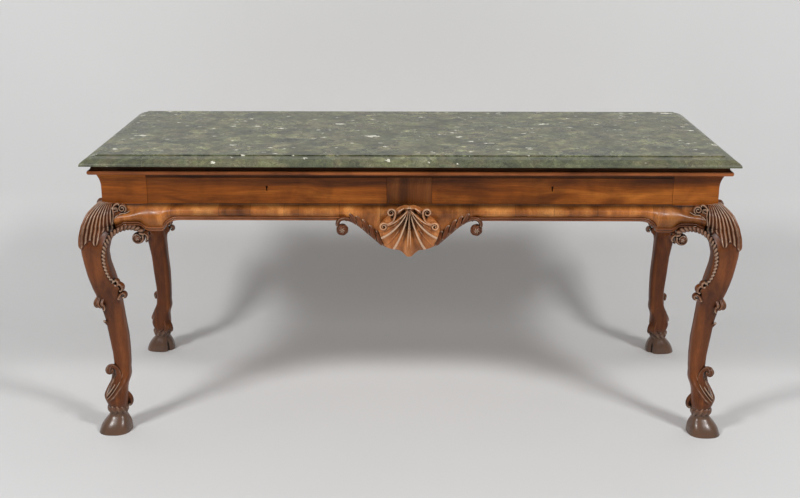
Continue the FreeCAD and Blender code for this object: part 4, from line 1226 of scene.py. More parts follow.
@dataclass
class Apron(Assembly):
    """The convex veneered apron of one face, with the bead under its shaped edge."""

    face: Face
    half: float
    has_drop: bool
    thickness: float = 32.0
    fillet: float = 3.0
    bulge: float = 22.0
    end_bulge: float = 26.0
    foot_reach: float = 10.0
    middle_foot: float = 663.0
    end_foot: float = 631.0
    step_from_corner: float = 171.0
    step_run: float = 51.0
    arch_end: float = 134.0
    knee_lap: float = 36.0
    knee_drop: float = 20.0
    knee_span: Pair = (140.0, 60.0)
    ear_rise: float = 15.0
    ear_rise_span: Pair = (130.0, 104.0)
    ear_fall_share: float = 0.75
    ear_fall_span: Pair = (66.0, 36.0)
    drop_start: float = 182.0
    drop_line: Line = ((180, 662), (166, 655), (146, 638), (118, 612), (88, 588), (56, 570), (0, 561))
    drop_span: Pair = (196.0, 150.0)
    shell_crest: float = 18.0
    shell_bed: float = 13.0
    shell_ease: float = 22.0
    beads: Line = ((3.3, 2.4, 11.0), (2.7, 9.4, 9.5))
    bead_step: float = 2.5
    bead_end: float = 176.0
    web: Pair = (5.8, 17.0)
    web_drop: float = 5.6
    web_reach: float = -12.0
    arris: Pair = (1.2, 4.0)
    arris_start: float = 46.0
    arris_reach: float = 2.0
    arris_drop: float = 1.0

    def lower_edge(self) -> Array:
        """The lower edge from the knee to the middle of the face, as lengths and heights.

        Returns:
            One point of the edge in each row.
        """
        step = self.half - self.step_from_corner
        arch = np.linspace(self.half - self.knee_lap, self.half - self.arch_end, 40)
        turn = np.linspace(0.0, 0.5 * math.pi, 16)
        sweep = step - self.step_run * (1.0 - np.cos(turn))
        shallow = np.linspace(step - self.step_run, self.drop_start if self.has_drop else 0.0, 40)[1:]
        rising, falling = (smoothstep(self.half - span[0], self.half - span[1], arch)
                           for span in (self.ear_rise_span, self.ear_fall_span))
        rise = self.ear_rise * (rising - self.ear_fall_share * falling)
        runs = [np.stack([arch, self.end_foot + rise], axis=-1),
                np.stack([sweep, self.end_foot + (self.middle_foot - self.end_foot) * np.sin(turn)], axis=-1),
                np.stack([shallow, np.full(len(shallow), self.middle_foot)], axis=-1)]
        if self.has_drop:
            runs.append(smooth_path(self.drop_line, 60))
        return np.vstack(runs)

    def reach(self, depth: Array, height: float, fall: float) -> Array:
        """How far the convex face stands out.

        Args:
            depth: Depths under the fillet.
            height: The height of the face there.
            fall: 0 on the plain apron and 1 behind the shell.

        Returns:
            Distances in front of the frieze.
        """
        deep = (height - (FRIEZE_FOOT - self.fillet - self.middle_foot)) / (self.middle_foot - self.end_foot)
        bulge = self.bulge + (self.end_bulge - self.bulge) * np.clip(deep, 0.0, 1.0)
        share = depth / height
        plain = (self.fillet + (self.foot_reach - self.fillet) * share
                 + (bulge - 0.5 * (self.fillet + self.foot_reach)) * (1.0 - (2.0 * share - 1.0) ** 2))
        climb = 1.0 - (1.0 - np.clip(depth / self.shell_crest, 0, 1)) ** 2
        past = np.maximum(depth - self.shell_crest, 0.0) / self.shell_ease
        rising = self.fillet + (self.bulge - self.fillet) * climb
        falling = self.shell_bed + (self.bulge - self.shell_bed) * np.exp(-past ** 2)
        dropped = np.where(depth < self.shell_crest, rising, falling)
        return plain + fall * (dropped - plain)

    def carve(self) -> Carving:
        """The apron's solid.

        Returns:
            Its mesh.
        """
        half_edge = self.lower_edge()
        mirrored = half_edge[::-1] * (-1.0, 1.0)
        edge = np.vstack([half_edge, mirrored[1:]])[::-1]
        edge = edge[np.concatenate([[True], np.diff(edge[:, 0]) > 1e-6])]
        share = np.linspace(0.0, 1.0, 22)
        rings = []
        for along, foot in edge:
            lowered = self.knee_drop * smoothstep(*self.knee_span, self.half - abs(along))
            top = FRIEZE_FOOT - self.fillet - lowered
            depth = share * (top - foot)
            fall = smoothstep(*self.drop_span, abs(along)) if self.has_drop else 0.0
            front = self.reach(depth, top - foot, fall)
            reach = np.concatenate([[-self.thickness, self.fillet], front, [-self.thickness]])
            height = np.concatenate([[FRIEZE_FOOT, FRIEZE_FOOT], top - depth, [foot]])
            rings.append(self.face.place(along, reach, height))
        return Carving.lofted(np.array(rings))

    def edge_bead(self) -> Carving:
        """The beads along the lower edge with a groove between, and the arris at the top beside each knee.

        Returns:
            Their mesh.
        """
        forward = self.face.place(0.0, 1.0, 0.0) - self.face.place(0.0, 0.0, 0.0)
        half_edge = self.lower_edge()
        if self.has_drop:
            half_edge = half_edge[half_edge[:, 0] > self.bead_end]
            runs = [half_edge, half_edge * (-1.0, 1.0)]
        else:
            runs = [np.vstack([half_edge, half_edge[::-1][1:] * (-1.0, 1.0)])]
        parts = []
        for along, height in (run.T for run in runs):
            for radius, drop, reach in self.beads:
                path = self.face.place(along, reach, height - drop)
                parts.append(self.trees.run(self.trees.bar, path, self.finishes.bead,
                                            Step=self.bead_step, Radius=radius))
            web = self.face.place(along, self.web_reach, height - self.web_drop)
            parts.append(Carving.swept(web, *self.web, across=forward))
        top = np.linspace(self.half - self.arris_start, self.half - self.arch_end, 12)
        for side in (-1.0, 1.0):
            edge = self.face.place(side * top, self.arris_reach, FRIEZE_FOOT - self.arris_drop)
            parts.append(Carving.swept(edge, *self.arris, across=forward))
        return Carving.joined(parts)

    def build(self) -> None:
        """Makes the apron and its bead and dresses them."""
        label = self.face.value
        veneer = self.finishes.torus if self.face is Face.FRONT else self.finishes.torus_ends
        torus = make_mesh("torus", self.carve(), 40.0)
        add_piece(f"apron_torus_{label}", torus, veneer, f"apron_{label}")
        bead = make_mesh("edge_bead", self.edge_bead())
        add_piece(f"apron_edge_bead_{label}", bead, self.finishes.bead, f"apron_bead_{label}")


@dataclass
class CabrioleLeg(Assembly):
    """A carved leg with its hoof, drawn in reaches a and b beyond the frieze."""

    outline: Line = (
        (0, 53, -41, 2.5), (10, 50, -40.5, 2.5), (20, 46, -39, 2.5), (32, 38, -36, 2.5), (42, 29, -32, 2.5),
        (50, 21.5, -27, 2.6), (62, 21, -28, 2.7), (76, 21.5, -30, 2.8), (90, 27.5, -33, 2.8),
        (100, 30, -34, 2.8), (112, 27.5, -34, 3.0), (126, 21.5, -34, 3.2), (142, 13.5, -36, 3.5),
        (162, 5.5, -40.5, 4.0), (200, 1.5, -45, 4.2), (240, 3, -46, 4.2), (290, 8.5, -45, 4.2),
        (350, 14.5, -39.5, 4.2), (410, 27, -35, 4.2), (450, 39.5, -31, 4.2), (490, 49, -24, 4.0),
        (530, 55, -15.5, 4.0), (560, 59, -13.5, 3.8), (590, 61.5, -20, 3.6), (612, 61.5, -32, 3.6),
        (640, 56, -50, 3.8), (668, 42, -62, 4.0), (685, 26, -70, 4.4), (698, 9, -76, 4.5))
    level_runs: Line = (
        (0, 84, 32), (86, 208, 74), (213, 400, 24), (403, 519, 54), (525, 556, 6), (558, 698, 106))
    face_steps: tuple[int, int] = (56, 44)
    flank_steps: int = 26
    knee_span: Pair = (572.0, 634.0)
    knee_bed: Pair = (60.0, 64.0)
    knee_setback: float = 1.5
    feather_edge: float = -30.0
    feather_thickness: float = 4.6
    feather_ribs: int = 8
    feather_hem: Line = (
        (-0.4, 640), (0.0, 625), (0.05, 617), (0.106, 615), (0.16, 618), (0.22, 624), (0.27, 624),
        (0.33, 618), (0.39, 610), (0.44, 590), (0.483, 584), (0.55, 587), (0.62, 597), (0.68, 602),
        (0.725, 601), (0.80, 595), (0.906, 584), (1.0, 573), (1.2, 573))
    scroll_swell: Line = (
        (402, 0), (414, 2), (421, 6), (427, 11), (433, 12.5), (438, 10), (442, 9), (446, 12), (451, 16),
        (457, 15.5), (462, 11.5), (467, 8), (472, 4.5), (477, 1), (484, 0))
    flute_depths: Line = ((560, 2.4), (590, 5.6), (660, 5.4), (698, 3.0))
    leaf_level: float = 140.0
    leaf_bend: Pair = (0.62, 0.0047)
    leaf_pitch: float = 10.5
    leaf_relief: float = 4.2
    leaf_rib: float = 7.0
    cleft_depth: float = 9.0
    cleft_width: float = 2.2
    bulbs: Triple = (2.5, 8.0, 4.0)
    hair_level: float = 67.0
    hair_tilt: float = 2.5
    hair_middle: float = -3.0
    hair_radius: float = 21.5
    hair_square: float = 2.6
    hair_half: Pair = (8.4, 12.5)
    hair_strands: float = 6.0
    hair_relief: Pair = (0.72, 0.42)
    leaf_lobes: Line = ((-15.0, 9.0), (-7.5, 3.0), (0.0, 0.0), (7.5, 3.0), (15.0, 9.0))
    bracket: Line = ((14, 425), (17, 408), (12, 390), (6, 372), (2, 350))
    spur: Line = ((-3, 321), (4, 332), (10, 341), (15, 347), (17.5, 349))
    ankle_curl: Line = (
        (4, 14, 122), (-4, 9, 142), (-10, 4.5, 160), (-12, 2, 176), (-9, 2, 190), (-1, 3.5, 200),
        (8, 7, 203), (15.5, 11, 199.5), (16.5, 13.5, 191), (11, 13.5, 185.5), (4.5, 11.5, 188),
        (5, 10.5, 194), (10, 10.5, 195))
    heel: Line = ((-8, 132), (-18, 111), (-22, 93), (-21, 82))
    heel_locks: Line = ((-0.6, 4.0), (0.0, 0.0), (0.6, 4.0))
    upper_scroll: Line = (
        (-21, 468), (-25, 475.5), (-31, 478.5), (-37, 474), (-37, 466), (-31, 463.5), (-29, 468.5))
    middle_scroll: Line = ((-36, 469), (-43, 465.5), (-48.5, 458), (-47.5, 449.5), (-40, 445))
    lower_scroll: Line = (
        (-35, 419), (-38.5, 427), (-43, 434.5), (-49.5, 439.5), (-55.5, 435.5), (-55.5, 428.5),
        (-50.5, 427), (-49, 431))
    scroll_width: float = 13.5
    post_runs: Line = ((-22.0, 690.0, 812.8), (-28.0, 636.0, 700.0))
    post_inner: float = 82.0
    post_corner: float = 24.0
    back_shift: float = 22.0

    def body(self) -> Carving:
        """The leg from hoof to knee, with its feather, ankle leaf and cleft carved in.

        Returns:
            Their mesh.
        """
        heights = np.concatenate([np.linspace(*run) for run in self.level_runs])
        level = heights[:, None]
        columns = np.array(self.outline).T
        outer, inner, square = (soft_curve(list(zip(columns[0], column)), heights, 4.0)[:, None]
                                for column in columns[1:])
        near, far = ((np.arange(steps) + 0.5) / steps for steps in self.face_steps)
        face = np.concatenate([1.0 - near, -far])
        flank = 1.0 - 2.0 * (np.arange(self.flank_steps) + 0.5) / self.flank_steps
        way_a = np.concatenate([face, np.full(len(flank), -1.0)])
        way_b = np.concatenate([np.ones(len(face)), flank])
        size = (np.abs(way_a) ** square + np.abs(way_b) ** square) ** (-1.0 / square)
        middle, half = 0.5 * (outer + inner), 0.5 * (outer - inner)
        a, b = middle + half * way_a * size, middle + half * way_b * size
        swell = soft_curve(self.scroll_swell, heights, 1.2)[:, None]
        a = a - swell * np.concatenate([smoothstep(-0.5, -0.95, face), smoothstep(-0.35, 0.2, flank)])
        seam = np.hstack([a, a[:, ::-1]])
        torus = Apron(self.finishes, self.trees, Face.FRONT, HALF_LENGTH, False)
        depth = np.clip(FRIEZE_FOOT - torus.fillet - level, 0.0, self.knee_bed[0])
        flush = torus.reach(depth, self.knee_bed[1], 0.0) - self.knee_setback
        lean = smoothstep(*self.knee_span, level) * np.maximum(outer - flush, 0.0)
        lean = lean * np.clip((outer - a) / (outer - self.feather_edge), 0.0, 1.15) ** 1.6
        b = b - lean * np.clip((b - inner) / (outer - inner), 0.0, 1.0)
        a, b = np.hstack([a, b[:, ::-1]]), np.hstack([b, a[:, ::-1]])
        points = np.stack([a, b, np.broadcast_to(level, a.shape)], axis=-1)
        around = np.roll(points, -1, axis=1) - np.roll(points, 1, axis=1)
        normal = unit(np.cross(around, np.gradient(points, axis=0)))
        corner = middle + half * 2.0 ** (-1.0 / square)
        rise = self._feather(seam, level, corner) + self._ankle_leaf(seam, level)
        rise = rise - self._cleft(a.shape[1], level)
        points = points + normal * rise[:, :, None]
        points[:, :, 2] = np.maximum(points[:, :, 2], 0.0)
        return Carving.lofted(points)

    def _feather(self, seam: Array, level: Array, corner: Array) -> Array:
        """How far the fluted feather over the knee stands out.

        Args:
            seam: Places across a face, inwards from the corner.
            level: Heights.
            corner: The reach of the corner at each height.

        Returns:
            Heights of relief.
        """
        share = (seam - self.feather_edge) / (corner - self.feather_edge)
        hem = soft_curve(self.feather_hem, share, 0.012)
        cover = smoothstep(0.0, 2.4, level - hem) * smoothstep(-0.03, 0.03, share)
        rib = np.abs(np.sin(math.pi * self.feather_ribs * (share - 1.0))) ** 0.8
        flute = np.interp(level, *np.array(self.flute_depths).T)
        return cover * (self.feather_thickness + flute * (rib - 0.7))

    def _ankle_leaf(self, seam: Array, level: Array) -> Array:
        """How far the strands of the leaf that winds over the ankle stand out.

        Args:
            seam: Places across a face, inwards from the corner.
            level: Heights.

        Returns:
            Heights of relief.
        """
        slope, bend = self.leaf_bend
        above = level - self.leaf_level
        wind = seam + slope * above - bend * above ** 2
        strands = 0.5 - 0.5 * np.cos(2.0 * math.pi * (wind + 4.0) / self.leaf_pitch)
        cover = smoothstep(-13.0, -5.0, wind)
        cover = cover * smoothstep(90.0, 102.0, level) * smoothstep(200.0, 145.0, level)
        rib = np.exp(-((wind + 22.0) / 7.5) ** 2)
        rib = rib * smoothstep(94.0, 112.0, level) * smoothstep(196.0, 150.0, level)
        return cover * (1.0 + self.leaf_relief * (strands - 0.5)) + self.leaf_rib * rib

    def _cleft(self, columns: int, level: Array) -> Array:
        """How deep the cleft between the bulbs of the heel is cut.

        Args:
            columns: Points round the leg.
            level: Heights.

        Returns:
            Depths.
        """
        away = np.abs(np.arange(columns) - 0.5 * (columns - 1))
        swell, place, width = self.bulbs
        cut = self.cleft_depth * np.exp(-(away / self.cleft_width) ** 2)
        cut = cut - swell * np.exp(-((away - place) / width) ** 2)
        return cut[None, :] * smoothstep(46.0, 24.0, level)

    def hair_roll(self) -> Carving:
        """The twisted collar of hair over the hoof.

        Returns:
            Its mesh.
        """
        turn = np.linspace(0.0, 2 * math.pi, 132, endpoint=False)[:, None]
        roll = np.linspace(0.0, 2 * math.pi, 20, endpoint=False)[None, :]
        out = np.concatenate([np.cos(turn), np.sin(turn)], axis=-1)
        size = (np.abs(out) ** self.hair_square).sum(axis=1) ** (-1 / self.hair_square)
        ring = self.hair_middle + self.hair_radius * size[:, None] * out
        hollow, crest = self.hair_relief
        strand = hollow + crest * np.abs(np.sin(roll + self.hair_strands * turn)) ** 0.8
        half_width, half_height = self.hair_half
        flat = ring[:, None, :] + (half_width * strand * np.cos(roll))[:, :, None] * out[:, None, :]
        level = self.hair_level + self.hair_tilt * np.cos(turn - 0.25 * math.pi)
        level = level + half_height * strand * np.sin(roll)
        return Carving.lofted(np.concatenate([flat, level[:, :, None]], axis=-1), endless=True)

    @staticmethod
    def _diagonal(knots: Sequence[Sequence[float]], count: int) -> Array:
        """A smooth line on the diagonal of the corner, through equal reaches and heights."""
        line = smooth_path(knots, count)
        return line[:, [0, 0, 1]]

    def corner_scrolls(self) -> list[Carving]:
        """The leaf scroll and the spur on the outer corner, the ankle curls and the tuft at the heel.

        Returns:
            Their meshes.
        """
        across = (1.0, -1.0, 0.0)
        share = np.linspace(0.0, 1.0, 40)[:, None]
        thick = tapered(40, (0, 0.35, 0.7, 1), (3.0, 7.4, 6.2, 3.2))
        parts = []
        for shift, short in self.leaf_lobes:
            lobe = self._diagonal([(4, 446), (15, 435), (26 - short, 421), (32.5 - short, 407),
                                   (30 - short, 397.5), (23, 395 - short)], 40)
            lobe = lobe + np.array([shift, -shift, 0.0]) * share
            thin = thick * (1.0 - 0.02 * short)
            parts.append(Carving.swept(lobe, thin, np.linspace(4.0, 6.2, 40), 20, 5, across))
        for knots, count, thick, wide in ((self.bracket, 24, (11.0, 4.0), (11.0, 4.0)),
                                          (self.spur, 22, (9.0, 3.2), (8.0, 5.0))):
            parts.append(Carving.swept(self._diagonal(knots, count), np.linspace(*thick, count),
                                       np.linspace(*wide, count), across=across))
        curl = Carving.swept(smooth_path(self.ankle_curl, 64),
                             tapered(64, (0, 0.27, 0.5, 0.68, 1), (7.0, 12.5, 8.5, 6.6, 6.0)),
                             tapered(64, (0, 0.3, 0.6, 1), (5.0, 7.5, 8.0, 9.0)), 24, 5)
        parts += [curl, curl.swapped()]
        parts.append(Carving.swept(self._diagonal(self.heel, 20), np.linspace(6.0, 11.0, 20),
                                   np.linspace(8.0, 14.0, 20), 20, 7, across))
        share = np.linspace(0.0, 1.0, 28)[:, None]
        for turn, lower in self.heel_locks:
            tuft = self._diagonal([(-10, 136), (-19, 117), (-26.5, 99), (-30, 86 - lower), (-26, 76 - lower),
                                   (-20, 78 - lower)], 28)
            lock = tuft + np.array([turn, -turn, 0.0]) * (5.0 + 10.0 * share)
            parts.append(Carving.swept(lock, tapered(28, (0, 0.6, 1), (4.0, 9.6, 6.0)), 7.5, 20, 5, across))
        return parts

    def post(self, is_back: bool) -> Carving:
        """The square post above the knee and the block that carries it down behind the apron.

        Args:
            is_back: Whether the post is flush with the back.

        Returns:
            Their mesh.
        """
        turn = np.linspace(0.0, 2 * math.pi, 48, endpoint=False)
        way = np.stack([np.cos(turn), np.sin(turn)], axis=-1)
        way *= (np.abs(way) ** self.post_corner).sum(axis=1)[:, None] ** (-1 / self.post_corner)
        parts = []
        for outer, foot, head in self.post_runs:
            ring = 0.5 * (outer - self.post_inner) + 0.5 * (outer + self.post_inner) * way
            ring = ring + (0.0, self.back_shift if is_back else 0.0)
            heights = (foot, foot + 3.0, foot + 10.0, head - 10.0, head - 3.0, head)
            parts.append(Carving.lofted(np.array([np.column_stack([ring, np.full(48, z)]) for z in heights])))
        return Carving.joined(parts)

    def inner_scroll(self) -> Carving:
        """The C-scroll on the inner edge of the long face, below the rope.

        Returns:
            Its mesh.
        """
        parts = []
        for knots, places, sizes, centre in (
                (self.upper_scroll, (0, 0.5, 1), (3.0, 5.2, 4.2), 29.0),
                (self.middle_scroll, (0, 0.45, 1), (3.0, 6.2, 3.4), 27.0),
                (self.lower_scroll, (0, 0.4, 1), (5.0, 5.0, 4.0), 27.0)):
            path = raised(smooth_path(knots, 44), centre)
            parts.append(Carving.swept(path, tapered(44, places, sizes), self.scroll_width, 18))
        return Carving.joined(parts)

    def carve(self) -> Carving:
        """The whole leg of one corner."""
        inner = self.inner_scroll()
        return Carving.joined([self.body(), self.hair_roll(), inner, inner.swapped()] + self.corner_scrolls())

    def build(self, carving: Carving, ear: Carving) -> None:
        """Makes the four legs and dresses them.

        Args:
            carving: The leg of one corner.
            ear: The ear beside it, on the long face.
        """
        meshes = {is_back: make_mesh("carved_leg", Carving.joined([carving, self.post(is_back)]),
                                     neighbours=(ear, ear.swapped())) for is_back in (False, True)}
        for corner in Corner:
            label = f"leg_{corner.label}"
            mesh = corner_copy(meshes["back" in label], corner)
            add_piece(f"carved_{label}", mesh, self.finishes.carving, label)


@dataclass
class Ear(Assembly):
    """The rope-twist arch beside a knee that ends in a volute, drawn on the long face of a corner."""

    rope: Line = (
        (-110, 17, 612), (-106.5, 17, 622), (-90, 18, 629.5), (-69, 20, 630.5), (-45, 26.5, 624),
        (-28, 37.5, 612), (-19, 46.5, 598), (-13, 52.5, 585.5), (-9.6, 56.5, 573.5), (-7, 58.5, 552),
        (-8.2, 58, 530.5), (-12, 55.5, 510), (-19, 52, 490), (-28, 46, 478))
    rope_points: int = 120
    rope_sink: float = 3.0
    arch_points: int = 52
    volute_centre: Pair = (-97.0, 598.5)
    volute_start: Pair = (-110.0, 620.0)
    volute_radius: float = 16.0
    barrel_radius: float = 13.0
    face_reach: float = 16.0
    depth: float = 40.0
    flap: Line = ((-109, 612), (-117, 609), (-124, 602), (-124.5, 594), (-119, 590))
    eye_scrolls: Line = ((-58.5, 685.0, 11.6), (-39.0, 683.0, 6.6))
    eye_reaches: Line = ((-136, 6.0), (-80, 9.0), (-48, 11.0), (-30, 22.0))
    stem: Line = ((-36, 655), (-43, 664), (-54, 670), (-68, 672), (-80, 678))
    knee_stem: Line = ((-33, 692), (-35, 676), (-34, 660), (-31, 640))
    top_curl: Line = ((-34, 685), (-37, 693.5), (-43, 699), (-49, 698), (-50, 692.5))

    def carve(self) -> Carving:
        """The ear of the long face.

        Returns:
            Its mesh, in reaches beyond the frieze.
        """
        count = self.rope_points
        path = smooth_path(self.rope, count)
        girth = tapered(count, (0.0, 0.08, 0.4, 0.7, 1.0), (0.8, 1.0, 0.92, 0.56, 0.42))
        facing = np.stack([tapered(count, (0, 0.35, 0.6), (0.0, -0.1, -0.25)), np.ones(count),
                           tapered(count, (0, 0.3, 0.6), (-0.35, -0.3, 0.0))], axis=-1)
        rope = self.trees.run(self.trees.strands, path, self.finishes.carving, facing=facing, girth=girth,
                              Pitch=10.4, Length=5.4, Width=10.8, Height=7.8, Lean=-0.75)
        core = Carving.swept(path - (0.0, self.rope_sink, 0.0), 5.0 * girth, 4.5, 12)
        arch = path[:self.arch_points] - (0.0, 0.0, 0.5)
        back = arch.copy()
        back[:, 1] = np.minimum(arch[:, 1] - 20.0, -3.0)
        web = Carving.swept(back, 5.6, np.maximum(arch[:, 1] - back[:, 1] - 2.0, 8.0))
        return Carving.joined([rope, core, web] + self._volute() + self._eyes())

    def _volute(self) -> list[Carving]:
        """The volute at the end of the rope, its barrel and the leaf flap beside it.

        Returns:
            Their meshes.
        """
        centre_a, centre_z = self.volute_centre
        winding = spiral(self.volute_centre, (self.volute_radius, 9.0), 0.42, 1.1, 70)
        wind = np.vstack([[self.volute_start], winding])
        reach = self.face_reach - 14.0 + np.linspace(0.0, 2.0, len(wind))
        thick = tapered(len(wind), (0, 0.15, 1), (4.2, 5.0, 3.0))
        band = Carving.swept(raised(wind, reach), thick, 16.0, 16)
        drum = raised(np.full((9, 2), self.volute_centre),
                      np.linspace(self.face_reach - self.depth, self.face_reach - 3.0, 9))
        barrel = Carving.swept(drum, self.barrel_radius, self.barrel_radius, 24, across=(0, 0, 1))
        boss = Carving.bud((centre_a, self.face_reach - 3.0, centre_z), 12.6, 10.5, 1, 5, 0.8)
        leaf = Carving.swept(raised(smooth_path(self.flap, 24), 3.0),
                             tapered(24, (0, 0.5, 1), (3.0, 4.2, 1.8)), 10.0, 20, 5)
        return [band, barrel, boss, leaf]

    def _eyes(self) -> list[Carving]:
        """The small eye scrolls at the top of the apron beside the knee, and the stems that join them.

        Returns:
            Their meshes.
        """
        runs = [(spiral((centre_a, centre_z), (radius, 1.8), 0.70, -1.7, 60), 3.3, 2.0)
                for centre_a, centre_z, radius in self.eye_scrolls]
        runs += [(smooth_path(knots, count), first, last) for knots, count, first, last in (
            (self.stem, 40, 3.0, 1.6), (self.knee_stem, 30, 3.4, 1.8), (self.top_curl, 24, 3.2, 2.4))]
        parts = []
        for run, first, last in runs:
            reach = np.interp(run[:, 0], *np.array(self.eye_reaches).T)
            thick = np.linspace(first, last, len(run))
            parts.append(Carving.swept(raised(run, reach), thick, 7.0, 12))
        return parts

    def build(self, carving: Carving, leg: Carving) -> None:
        """Makes the eight ears and dresses them.

        Args:
            carving: The ear of the long face.
            leg: The leg beside it.
        """
        mesh = make_mesh("rope_ear", carving, neighbours=(leg,))
        for corner in Corner:
            for run in ("long", "short"):
                label = f"ear_{corner.label}_{run}"
                copy = corner_copy(mesh, corner, run == "short")
                add_piece(f"rope_{label}", copy, self.finishes.carving, label)


@dataclass
class Shell(Assembly):
    """The scallop shell on the middle of the front apron, with its hinge scrolls and side leaves."""

    hinge: float = 692.0
    rim: Line = (
        (0, 144), (3, 142), (6.3, 136), (10, 131.5), (14, 129), (18, 128), (20.5, 128.5), (24, 132.5),
        (28.6, 134.5), (34, 132), (39, 126), (42.5, 118.5), (47, 117), (52, 112), (57, 101), (63, 84),
        (72, 57), (84, 34), (98, 21), (120, 11), (180, 4))
    ridges: tuple[float, ...] = (3.4, 20.5, 42.5, 60.0)
    ridge_sizes: Line = ((2.2, 2.0), (3.0, 2.2), (1.6, 2.0), (1.4, 2.0))
    fine_ridges: tuple[float, ...] = (31.5, 51.5)
    fine_ridge_size: Pair = (2.8, 2.7)
    dome: Line = ((0.0, 27.0), (0.12, 34.0), (0.3, 42.5), (0.5, 45.5), (0.7, 43.0), (0.88, 36.0), (1.0, 27.0))
    flute_depths: tuple[float, ...] = (-1.5, 9.0, 9.0, 6.5, 4.0)
    flute_end: float = 78.0
    flare: float = 0.6
    back_reach: float = 12.0
    least_thickness: float = 6.0
    rim_ease: float = 3.0
    rim_edge: float = 6.0
    focus: float = 634.0
    upper_eye: Pair = (50.5, 681.0)
    lower_eye: Pair = (72.0, 641.0)
    scroll_waist: Line = ((41.0, 668.0), (47.0, 656.0), (59.0, 650.0))
    roll: Line = ((-21.0, 690.0), (-11.0, 693.0), (0.0, 694.0), (11.0, 693.0), (21.0, 690.0))
    leaf_stem: Line = (
        (72, 584), (92, 602), (112, 620), (134, 638), (152, 650), (168, 657), (184, 660), (197, 655),
        (203, 644), (201, 633))
    leaflets: tuple[int, ...] = (0, 13, 26, 38, 49)
    blade: Line = ((0.0, 0.0), (13.0, 6.0), (25.0, 12.0), (35.0, 18.0), (43.0, 19.0))
    bud_place: Pair = (190.0, 626.0)

    def _surface(self, x: Array, z: Array) -> Array:
        """How far the front of the shell stands out.

        Args:
            x: Lengths from the middle.
            z: Heights.

        Returns:
            Distances in front of the frieze.
        """
        radius = np.hypot(x, self.hinge - z)
        angle = np.abs(np.degrees(np.arctan2(x, self.hinge - z)))
        share = radius / np.interp(angle, *np.array(self.rim).T)
        angle = angle / (self.flare + (1.0 - self.flare) * np.clip(share, 0.0, 1.0))
        dome = np.interp(share, *np.array(self.dome).T)
        bounds = (0.0,) + self.ridges + (self.flute_end,)
        flute = np.zeros_like(dome)
        for low, high, depth in zip(bounds, bounds[1:], self.flute_depths):
            inside = (angle >= low) & (angle < high)
            flute = np.where(inside, depth * np.sin(math.pi * (angle - low) / (high - low)), flute)
        crest = np.zeros_like(dome)
        sizes = self.ridge_sizes + (self.fine_ridge_size,) * len(self.fine_ridges)
        for ridge, (rise, half_width) in zip(self.ridges + self.fine_ridges, sizes):
            away = radius * np.radians(np.abs(angle - ridge))
            crest = np.maximum(crest, rise * np.exp(-(away / half_width) ** 2))
        grow = smoothstep(0.0, 0.34, share)
        beside = 15.0 * smoothstep(63.0, 76.0, angle) * smoothstep(4.0, 16.0, np.abs(x))
        front = dome - flute * grow + crest * (0.35 + 0.65 * grow) - beside
        return np.maximum(front, self.back_reach + self.least_thickness)

    def fan(self) -> Carving:
        """The shell itself, closed behind.

        Returns:
            Its mesh.
        """
        turn = np.linspace(-180.0, 180.0, 360, endpoint=False)
        left_rim = [(-angle, radius) for angle, radius in self.rim[:0:-1]]
        reach = soft_curve(left_rim + list(self.rim), turn, 1.2)
        rim_x, rim_z = reach * np.sin(np.radians(turn)), self.hinge - reach * np.cos(np.radians(turn))
        rings = []
        for share in np.linspace(0.02, 1.0, 64) ** 0.85:
            x, z = rim_x * share, self.focus + (rim_z - self.focus) * share
            front = self._surface(x, z) - self.rim_ease * smoothstep(0.97, 1.0, share)
            rings.append(Face.FRONT.place(x, front, z))
        edge = np.maximum(self._surface(rim_x, rim_z) - self.rim_ease - self.rim_edge, self.back_reach)
        rings.append(Face.FRONT.place(rim_x, edge, rim_z))
        for share in (0.96, 0.5, 0.02):
            z = self.focus + (rim_z - self.focus) * share
            rings.append(Face.FRONT.place(rim_x * share, self.back_reach, z))
        return Carving.lofted(np.array(rings))

    def ridge_beads(self) -> list[Carving]:
        """The fine beads along two ridges of each half.

        Returns:
            The runs of beads.
        """
        runs = []
        for angle in [side * ridge for ridge in self.ridges[1:3] for side in (-1, 1)]:
            share = np.linspace(0.2, 0.97, 40)
            radius = share * np.interp(abs(angle), *np.array(self.rim).T)
            turn = np.radians(angle * (self.flare + (1.0 - self.flare) * share))
            x, z = radius * np.sin(turn), self.hinge - radius * np.cos(turn)
            path = Face.FRONT.place(x, self._surface(x, z) + 0.3, z)
            girth = np.linspace(0.6, 1.2, len(path))
            runs.append(self.trees.run(self.trees.strands, path, self.finishes.shell, girth=girth,
                                       Pitch=3.4, Length=2.3, Width=3.3, Height=2.6, Lean=0.0))
        return runs

    def hinge_scrolls(self) -> list[Carving]:
        """The C-scrolls beside the hinge and the roll over it.

        Returns:
            Their meshes.
        """
        parts = []
        upper = spiral(self.upper_eye, (2.2, 12.0), 0.0, 1.55, 48)
        lower = spiral(self.lower_eye, (10.5, 2.4), 0.30, -1.5, 48)
        waist = smooth_path([upper[-1], *self.scroll_waist, lower[0]], 26)[1:-1]
        wind = np.vstack([upper, waist, lower])
        reach = tapered(len(wind), (0, 0.35, 0.6, 1), (28.0, 35.0, 37.0, 33.0))
        thick = tapered(len(wind), (0, 0.4, 0.6, 1), (2.6, 3.9, 3.7, 2.6))
        for side in (-1.0, 1.0):
            path = Face.FRONT.place(side * wind[:, 0], reach, wind[:, 1])
            parts.append(Carving.swept(path, thick, 7.5))
        roll = smooth_path(self.roll, 34)
        parts.append(Carving.swept(Face.FRONT.place(roll[:, 0], 20.0, roll[:, 1]), 3.2, 9.0))
        return parts

